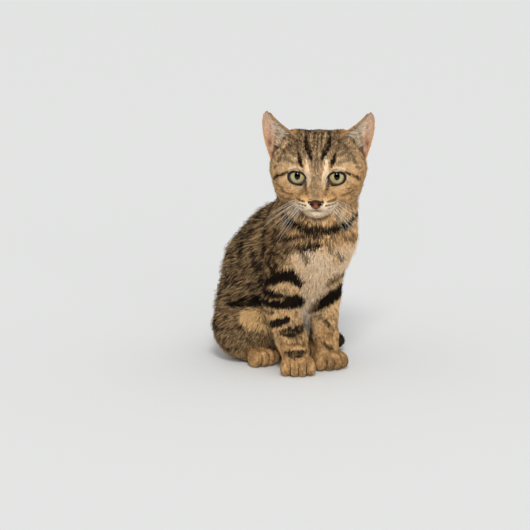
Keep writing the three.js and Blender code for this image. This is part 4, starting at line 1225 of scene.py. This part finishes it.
def ticked(base, streak, contrast):
    # four colours from root to tip, the tip light or dark by its streak, as agouti hairs are banded
    n = len(base)
    light = base.mean(-1)
    banded = ramp(light, 0.10, 0.15) * (1 - ramp(light, 0.30, 0.48))
    white = ramp(light, 0.72, 0.9)
    chance, shade = 0.8 * streak + 0.2 * rng.random(n), rng.uniform(-1, 1, n)
    uneven = 1 + contrast * (1 - 0.7 * white) * (0.13 * shade + 0.2 * (streak - 0.5))
    base = np.maximum(base * uneven[:, None], 0.02)
    pale = mix(tones["tan"] * 1.05, tones["sand"] * 1.07, np.full(n, min(max(contrast - 1, 0) * 1.4, 1)))
    deep = base * (1 - 0.8 * max(contrast - 0.9, 0) * ramp(chance, 0.5, 0.8))[:, None]
    pale = mix(deep, pale, 0.95 * (1 - ramp(chance, 0.4, 0.5)) * banded)
    drop = 0.6 * contrast * (1 - 0.8 * ramp(light, 0.58, 0.74)) * (1 - ramp(chance, 0.12, 0.5))
    tip = base * np.maximum(1.12 - drop, 0.4)[:, None]
    tip = mix(tip, pale, banded)
    tip = mix(tip, base * 1.04, 0.7 * white)
    root = base * (1 - 0.5 * contrast * (1 - 0.8 * ramp(light, 0.58, 0.74)))[:, None]
    root = mix(root, base * 0.93, white)
    low, high = mix(base, base * 1.05, 1 - banded), mix(base, tip, np.full(n, 0.7))
    return root, low, high, tip


quadCorners, quadNormals = skinVerts[skinQuads], skinNormals[skinQuads]
quadArea = 0.5 * np.linalg.norm(
    np.cross(quadCorners[:, 2] - quadCorners[:, 0], quadCorners[:, 3] - quadCorners[:, 1]), axis=-1)
quadCentre = quadCorners.mean(1)
partNames = list(skinShare)
quadPart = np.argmax(np.stack([skinShare[name][skinQuads].mean(1) for name in partNames], -1), -1)
quadOf = lambda *names: np.isin(quadPart, [partNames.index(name) for name in names])
quadAhead = -toHead(quadCentre)[:, 1]
quadBack, quadLeft = toBody(quadCentre)[:2]


def aroundEyes(q):
    # millimetres outside the nearer eye's rim, and the way out from it across the face
    far = 99.0
    best, out = np.full(len(q), far), np.zeros(q.shape)
    for side in (1, -1):
        centre, ahead, outer, up = eyeSetting(side)
        r = q - centre
        x, z = r @ outer, r @ up + headSizes["lidDrop"]
        gap = (np.hypot(x / (headSizes["lidWidth"] + 1), z / (headSizes["lidHeight"] + 1)) - 1) * 7
        gap = np.where(r @ ahead > 0, gap, far)
        nearer = gap < best
        best = np.where(nearer, gap, best)
        out = np.where(nearer[:, None], x[:, None] * outer + z[:, None] * up, out)
    return best, unit(out)


# places along a tuft, tufts per square mm, length, width, clump size and pull, contrast, jitter
coatKinds = {
    "face": (2, 4.2, 3.0, 0.42, 2.4, 0.2, 0.8, 0.25), "crown": (3, 2.2, 5.5, 0.5, 3.0, 0.3, 1, 0.25),
    "neck": (3, 1.9, 8.0, 0.6, 3.6, 0.35, 1, 0.9), "chest": (3, 1.7, 8.5, 0.6, 3.8, 0.35, 1, 0.9),
    "flank": (3, 1.4, 9.5, 0.62, 4.2, 0.4, 1.5, 0.9), "thigh": (3, 1.7, 8.0, 0.6, 3.8, 0.35, 1.4, 0.9),
    "foreleg": (3, 2.2, 5.0, 0.48, 2.8, 0.25, 0.9, 0.5), "tail": (3, 1.6, 8.5, 0.6, 3.6, 0.35, 1, 0.9),
    "forepaw": (2, 4.0, 2.4, 0.4, 2.0, 0.15, 0.35, 0.25),
    "hindFoot": (2, 3.6, 2.6, 0.4, 2.0, 0.15, 0.35, 0.25),
}
coatPieces = {  # the kind of coat, and where it grows
    "coatFace": ("face", quadOf("head") & (quadAhead > 4)),
    "coatCrown": ("crown", quadOf("head") & (quadAhead <= 4)),
    "coatNeck": ("neck", quadOf("neck")),
    "coatChest": ("chest", quadOf("trunk") & (quadBack < 26)),
    "coatFlankRight": ("flank", quadOf("trunk") & (quadBack >= 26) & (quadLeft < 0)),
    "coatFlankLeft": ("flank", quadOf("trunk") & (quadBack >= 26) & (quadLeft >= 0)),
    "coatThighRight": ("thigh", quadOf("thighRight")),
    "coatThighLeft": ("thigh", quadOf("thighLeft")),
    "coatForelegRight": ("foreleg", quadOf("armRight")),
    "coatForelegLeft": ("foreleg", quadOf("armLeft")),
    "coatForepaws": ("forepaw", quadOf("pawRight", "pawLeft")),
    "coatHindFeet": ("hindFoot", quadOf("hindRight", "hindLeft")),
    "coatTail": ("tail", quadOf("tail")),
}
coatLook = {
    "mostShort": 48000, "mostLong": 19500,  # most tufts in a piece, by the places along a tuft
    "lockSize": 2.3, "turn": 0.16, "sunk": 0.3, "eyeClear": 0.9, "noseClear": 0.6,
    "stray": 0.14, "strayMore": 0.1, "strayLonger": 0.3, "strayWidth": 0.6,  # more and longer on the body
}


def hugged(place, normal, level):
    # moves places along their root's normal until they stand at the wanted level over the skin
    for _ in range(2):
        place = place + normal * np.clip(level - faceBase(place), -3, 3)[:, None]
    return np.maximum(place, vec(-999, -999, 0.25))


def rootsOn(picks, density, most):
    # spread over the skin's quads in step with their area
    total = np.cumsum(quadArea[picks])
    n = int(min(total[-1] * density, most))
    along = (np.arange(n) + rng.random(n)) / n * total[-1]
    chosen = picks[np.searchsorted(total, along).clip(0, len(picks) - 1)]
    s, t = rng.random((2, n, 1))
    weights = np.concatenate([(1 - s) * (1 - t), s * (1 - t), s * t, (1 - s) * t], -1)[..., None]
    return (quadCorners[chosen] * weights).sum(1), unit((quadNormals[chosen] * weights).sum(1))


def growCoat(name):
    kind, where = coatPieces[name]
    places, density, length, width, clumpSize, pull, contrast, jitter = coatKinds[kind]
    look = coatLook
    roots, normal = rootsOn(np.flatnonzero(where), density, look["mostShort" if places == 2 else "mostLong"])
    q = toHead(roots)
    gap, outFromEye = aroundEyes(q)
    onSole = (normal[:, 2] < -0.5) & (roots[:, 2] < 2.5)
    keep = (gap > look["eyeClear"]) & ~onSole & (noseField(roots) > look["noseClear"])
    roots, normal, q, gap, outFromEye = [a[keep] for a in (roots, normal, q, gap, outFromEye)]
    n = len(roots)
    share = shares(regions(roots))
    # the lie, turned aside round the eyes
    lie = lieOf(roots, normal, share)
    aside = outFromEye @ headTurn.T
    aside -= normal * np.sum(aside * normal, -1, keepdims=True)
    turnAside = share["head"] * (1 - ramp(gap, 2.5, 6.5))
    lie = unit(lie * (1 - turnAside)[:, None] + unit(aside) * turnAside[:, None])
    lie = unit(lie + np.cross(normal, lie) * rng.normal(0, look["turn"], n)[:, None])
    # lengths follow the coat's depth, and a few strays stand out of it
    depth = depthAt(roots, share)
    lengths = length * rng.uniform(0.72, 1.2, n) * (0.55 + 0.45 * np.clip(depth / depth.max(), 0, 1))
    face = share["head"] * ramp(-q[:, 1], 8, 30)
    muzzle = share["head"] * ramp(-q[:, 1], 22, 30) * ramp(-q[:, 2], 12, 18)
    lengths *= 1 - 0.35 * face - 0.2 * muzzle
    loose = share["trunk"] + share["thighLeft"] + share["thighRight"] + share["tail"]
    stray = rng.random(n) < (look["stray"] + look["strayMore"] * loose) * (1 - face)
    lengths *= 1 + look["strayLonger"] * stray * loose
    locks = clumpsOf(roots, look["lockSize"])
    count = locks.max() + 1
    rise = 0.5 * rng.random(count)[locks] + 0.5 * rng.random(n)
    standing = np.where(stray, rng.uniform(1.2, 1.7 + 0.3 * loose, n), 1)
    height = depth * (0.5 + 0.55 * rise) * standing * (1 - 0.4 * muzzle)
    clump = clumpsOf(roots, clumpSize)
    tips = gathered(roots + lie * lengths[:, None], clump, rng.uniform(0.3, 1.7, n) * pull)
    tips = hugged(tips, normal, height)
    paths = [roots - normal * look["sunk"]]
    if places == 3:
        paths.append(hugged(roots + (tips - roots) * 0.45, normal, height * rng.uniform(0.72, 0.95, n)))
    paths = np.stack([*paths, tips], 1)
    # a tuft shows the colour of the place that it covers, give or take its jitter
    seen = roots + (tips - roots) * 0.6
    seen += rng.normal(0, jitter, (n, 3))
    base = markings(seen, shares(regions(seen)))
    root, low, high, tip = ticked(base, rng.random(count)[locks] * (1 - 0.7 * stray * loose), contrast)
    colours = np.stack([root, high, tip] if places == 3 else [low, tip], 1)
    widths = width * (rng.uniform(0.75, 1.25, n) * np.where(stray, look["strayWidth"], 1))[:, None]
    widths = widths * np.array([1.0, 0.85])[None, :places - 1]
    axis = headTurn @ vec(0, 1, 0) if kind in ("face", "crown") else vec(0, 0, 1)
    charts = chartOf(roots, axis, roots.mean(0))
    piece = spikes(name, paths, np.cross(normal, lie), normal, widths, colours, charts, coatMaterial)
    carry(piece, "paw_coat" if kind in ("forepaw", "hindFoot") else "coat")
    return n


tuftCount = {name: growCoat(name) for name in coatPieces}
print("coat:", tuftCount)


# the ears' own hair
earHair = {  # how many of each set, and their lengths
    "back": 3000, "down": 1300, "rim": 600, "furnishing": 170, "base": 620,
    "backLength": 4.0, "downLength": 2.4, "rimLength": 2.0, "furnishingLength": 13, "baseLength": 8.5,
}


def earFrame(side, u, v, wall):
    # a place on the ear, the ways up and across it, and the way out of the wall
    e = 0.004
    place = earSurface(side, u, v, wall)
    rise = unit(earSurface(side, u + e, v, wall) - earSurface(side, u - e, v, wall))
    across = unit(earSurface(side, u, v * 0.98 + e, wall) - earSurface(side, u, v * 0.98 - e, wall))
    out = unit(np.cross(rise, across)) * side * (1 if wall > 0 else -1)
    ahead = headTurn @ vec(0, -1, 0)
    return place, rise, across, out * np.sign(out @ ahead * (-1 if wall > 0 else 1))[:, None]


def arched(start, place, lie, out, lift, bend):
    # hairs that rise off the wall and lean back to it; lie holds their length too
    return np.stack([start, *(place + lie * t + out * lift * math.sin(t * bend) for t in (0.5, 1.0))], 1)


def growEar(side, name):
    wall = earSizes["wall"]
    sets = []
    # back: short and lying up towards the tip; down inside: sparse and pale
    for label, face, thick, rise in (("back", 0, wall, 0.9), ("down", 1, -wall, 0.5)):
        n = earHair[label]
        u, v = 0.02 + (0.86 if face else 0.83) * rng.random(n) ** 1.15, rng.uniform(-0.96, 0.96, n)
        place, up, across, out = earFrame(side, u, v, thick)
        lie = unit(up + across * rng.normal(0.12 * v, 0.15)[:, None])
        length = earHair[label + "Length"] * rng.uniform(0.7, 1.2, n) * (1 - 0.7 * ramp(u, 0.6, 0.85))
        tip = place + lie * length[:, None] + out * (rise * rng.uniform(0.5, 1.2, n))[:, None]
        bend = place + lie * (0.45 * length)[:, None] + out * rise * 0.8
        base = earColour(u, v, face) * rng.uniform(0.85, 1.15, n)[:, None]
        if face:
            base = mix(base, tones["white"], np.full(n, 0.3))
        sets.append((np.stack([place - out * 0.2, bend, tip], 1), out, base, 0.42))
    # rims: a golden fringe along both edges
    n = earHair["rim"]
    u = 0.02 + (earSizes["top"] - 0.025) * rng.random(n)
    edge = np.where(np.arange(n) % 2 == 0, 1.0, -1.0)
    place, up, across, out = earFrame(side, u, edge * 0.985, 0.01)
    lie = unit(up * 0.9 + across * (edge * 0.5)[:, None] + out * rng.normal(0, 0.15, n)[:, None])
    length = (earHair["rimLength"] * rng.uniform(0.6, 1.2, n) * (1 - 0.7 * ramp(u, 0.68, 0.88)))[:, None]
    base = tones["earFringe"] * rng.uniform(0.85, 1.12, n)[:, None]
    paths = np.stack([place - lie * 0.4, place + lie * (0.5 * length), place + lie * length], 1)
    sets.append((paths, out, base, 0.4))
    # furnishings: long pale hair from the inner edge, swept up and outwards over the cup
    n = earHair["furnishing"]
    u, v = 0.1 + 0.55 * rng.random(n), rng.uniform(-0.95, -0.1, n)
    place, up, across, out = earFrame(side, u, v, -wall)
    lie = unit(up * rng.uniform(0.5, 1.0, n)[:, None] + across * rng.uniform(0.5, 1.1, n)[:, None])
    length = earHair["furnishingLength"] * rng.uniform(0.55, 1.15, n) * (1 - 0.6 * ramp(u, 0.25, 0.6))
    length = length[:, None]
    paths = arched(place - out * 0.2, place, lie * length, out * length, 0.34, 2.1)
    base = mix(tones["cream"], tones["white"], rng.random(n)) * rng.uniform(0.9, 1.03, n)[:, None]
    sets.append((paths, out, base, 0.34))
    # brown and cream hair that stands up before the cup from where it meets the head
    n = earHair["base"]
    v, stops = rng.uniform(-0.97, 0.45, n), np.linspace(0, 0.6, 31)
    clear = faceBase(earSurface(side, stops[:, None] + 0 * v, v + 0 * stops[:, None], -wall)) > 0.2
    u = stops[np.argmax(clear, axis=0)] + rng.uniform(-0.03, 0.03, n)
    place, up, across, out = earFrame(side, u, v, -wall)
    lie = unit(up + across * rng.uniform(-0.1, 0.7, n)[:, None])
    length = (earHair["baseLength"] * rng.uniform(0.5, 1.2, n))[:, None]
    paths = arched(place - out * 0.3 - lie * 0.8, place, lie * length, out * length, 0.3, 2.4)
    base = mix(tones["agouti"], tones["cream"], ramp(rng.random(n) + 0.6 * v, -0.1, 0.8))
    base *= rng.uniform(0.75, 1.05, n)[:, None]
    sets.append((paths, out, base, 0.4))
    # all of them as one piece
    paths, above, base = [np.concatenate([x[i] for x in sets]) for i in range(3)]
    lie = unit(paths[:, -1] - paths[:, 0])
    across = unit(np.cross(above, lie))
    width = np.concatenate([np.full(len(x[0]), x[3]) for x in sets]) * rng.uniform(0.8, 1.2, len(base))
    widths = width[:, None] * np.array([1.0, 0.85])
    colours = np.stack([base * 0.8, base, np.clip(base * 1.08, 0, 1)], 1)
    charts = chartOf(paths[:, 0], headTurn @ vec(0, 0, 1), paths[:, 0].mean(0))
    carry(spikes(name, paths, across, above, widths, colours, charts, coatMaterial), "coat")


for side, name in ((1, "coatEarLeft"), (-1, "coatEarRight")):
    growEar(side, name)
print("ear hair")


# whiskers
whiskerLook = {
    "count": 14, "toARow": 5, "length": 37, "width": 0.26, "thickness": 0.87, "droop": vec(0, 0.3, -0.2),
    "first": vec(9.4, -40, -18.6), "nextRow": vec(0, 0, -2.6), "nextPlace": vec(1.9, 0, -0.2),
    "way": vec(0.8, -0.35, -0.42), "rowTurn": vec(0, 0, -0.26), "placeTurn": vec(0, 0, 0.05), "spread": 0.07,
}


def growWhiskers():
    # in rows on both pads; each starts on the skin, leaves it outwards and hangs a little
    look = whiskerLook
    paths, steps = [], np.linspace(0, 1, 9)
    inward = headTurn @ vec(0, 1, 0)
    for side in (1, -1):
        mirror = vec(side, 1, 1)
        for i in range(look["count"]):
            row, place = divmod(i, look["toARow"])
            foot = onHead((look["first"] + row * look["nextRow"] + place * look["nextPlace"]) * mirror)
            way = look["way"] + row * look["rowTurn"] + place * look["placeTurn"]
            start = unit(way + vec(0, 0, rng.normal(0, look["spread"])))
            length = look["length"] * rng.uniform(0.65, 1.08)
            for _ in range(12):
                foot = foot + inward * (faceBase(foot[None])[0] * 0.8)
            bow = steps[:, None] * start + (steps**2)[:, None] * look["droop"]
            sunk = inward * 0.6 * (1 - steps[:, None]) ** 8
            paths.append(foot + (bow * mirror * length) @ headTurn.T + sunk)
    paths = np.array(paths)
    lie = unit(paths[:, -1] - paths[:, 0])
    across = unit(np.cross(lie, vec(0, 0, 1)))
    above = np.cross(across, lie)
    n, k = paths.shape[:2]
    widths = np.tile(look["width"] * (1 - 0.75 * steps[:-1]), (n, 1))
    colours = np.broadcast_to(tones["whisker"], (n, k, 3))
    charts = chartOf(paths[:, 0], inward, paths[:, 0].mean(0))
    piece = spikes(
        "whiskers", paths, across, above, widths, colours, charts, coatMaterial, look["thickness"])
    carry(piece, "coat")


growWhiskers()
print("whiskers")


# camera, floor and lights
def toFrame(p):
    return tuple((np.asarray(p, float) - middle) * millimetre)


def aim(item, target):
    way = np.asarray(target, float) - np.array(item.location)
    item.rotation_euler = mathutils.Vector(way).to_track_quat("-Z", "Y").to_euler()


def makeCamera():
    camera = bpy.data.objects.new("camera", bpy.data.cameras.new("camera"))
    bpy.context.scene.collection.objects.link(camera)
    camera.data.sensor_width = viewpoint["sensor"]
    camera.data.lens = viewpoint["sensor"] * viewpoint["distance"] / viewpoint["width"]
    camera.data.clip_end = 50
    camera.location = toFrame(cameraPlace)
    aim(camera, toFrame(viewpoint["target"]))
    bpy.context.scene.camera = camera


studio = {
    "floor": (0.925, 0.93, 0.925), "floorWidth": (-14, 14), "floorDepth": (-6, 22), "world": 0.62,
    "lights": [("key", 1, 43, 13, 1.4), ("fill", 10, 6, 50, 1.05)],  # name, bearing, rise, spread, strength
}


def makeStudio():
    (left, right), (front, back) = studio["floorWidth"], studio["floorDepth"]
    mesh = bpy.data.meshes.new("floor")
    corners = [(left, front, 0), (right, front, 0), (right, back, 0), (left, back, 0)]
    mesh.from_pydata(corners, [], [(0, 1, 2, 3)])
    floor = bpy.data.objects.new("floor", mesh)
    bpy.context.scene.collection.objects.link(floor)
    material, tree, shader = newMaterial("paleFloor", Roughness=0.85)
    cloud = addNode(tree, "TexNoise", in_Scale=2.0).outputs[0]
    tint = addNode(tree, "MapRange", in_0=cloud, in_3=0.985, in_4=1.0).outputs[0]
    plain = tuple(linear(studio["floor"]))
    dress(tree, shader, Base_Color=vectorMaths(tree, "SCALE", in_0=plain, in_3=tint))
    mesh.materials.append(material)
    world = bpy.data.worlds.new("studio")
    world.use_nodes = True
    world.node_tree.nodes["Background"].inputs["Color"].default_value = (1, 1, 1, 1)
    world.node_tree.nodes["Background"].inputs["Strength"].default_value = studio["world"]
    world.cycles_visibility.glossy = False  # no pale sky in the eyes
    bpy.context.scene.world = world
    for name, bearing, rise, spread, strength in studio["lights"]:
        light = bpy.data.lights.new(name, "SUN")
        light.energy, light.angle = strength, math.radians(spread)
        lamp = bpy.data.objects.new(name, light)
        bpy.context.scene.collection.objects.link(lamp)
        a, e = math.radians(bearing), math.radians(rise)
        lamp.visible_glossy = name == "key"  # only the key shows in the eyes
        lamp.location = vec(math.sin(a) * math.cos(e), -math.cos(a) * math.cos(e), math.sin(e))
        aim(lamp, (0, 0, 0))


makeCamera()
makeStudio()
bpy.context.scene.view_settings.view_transform = "Standard"
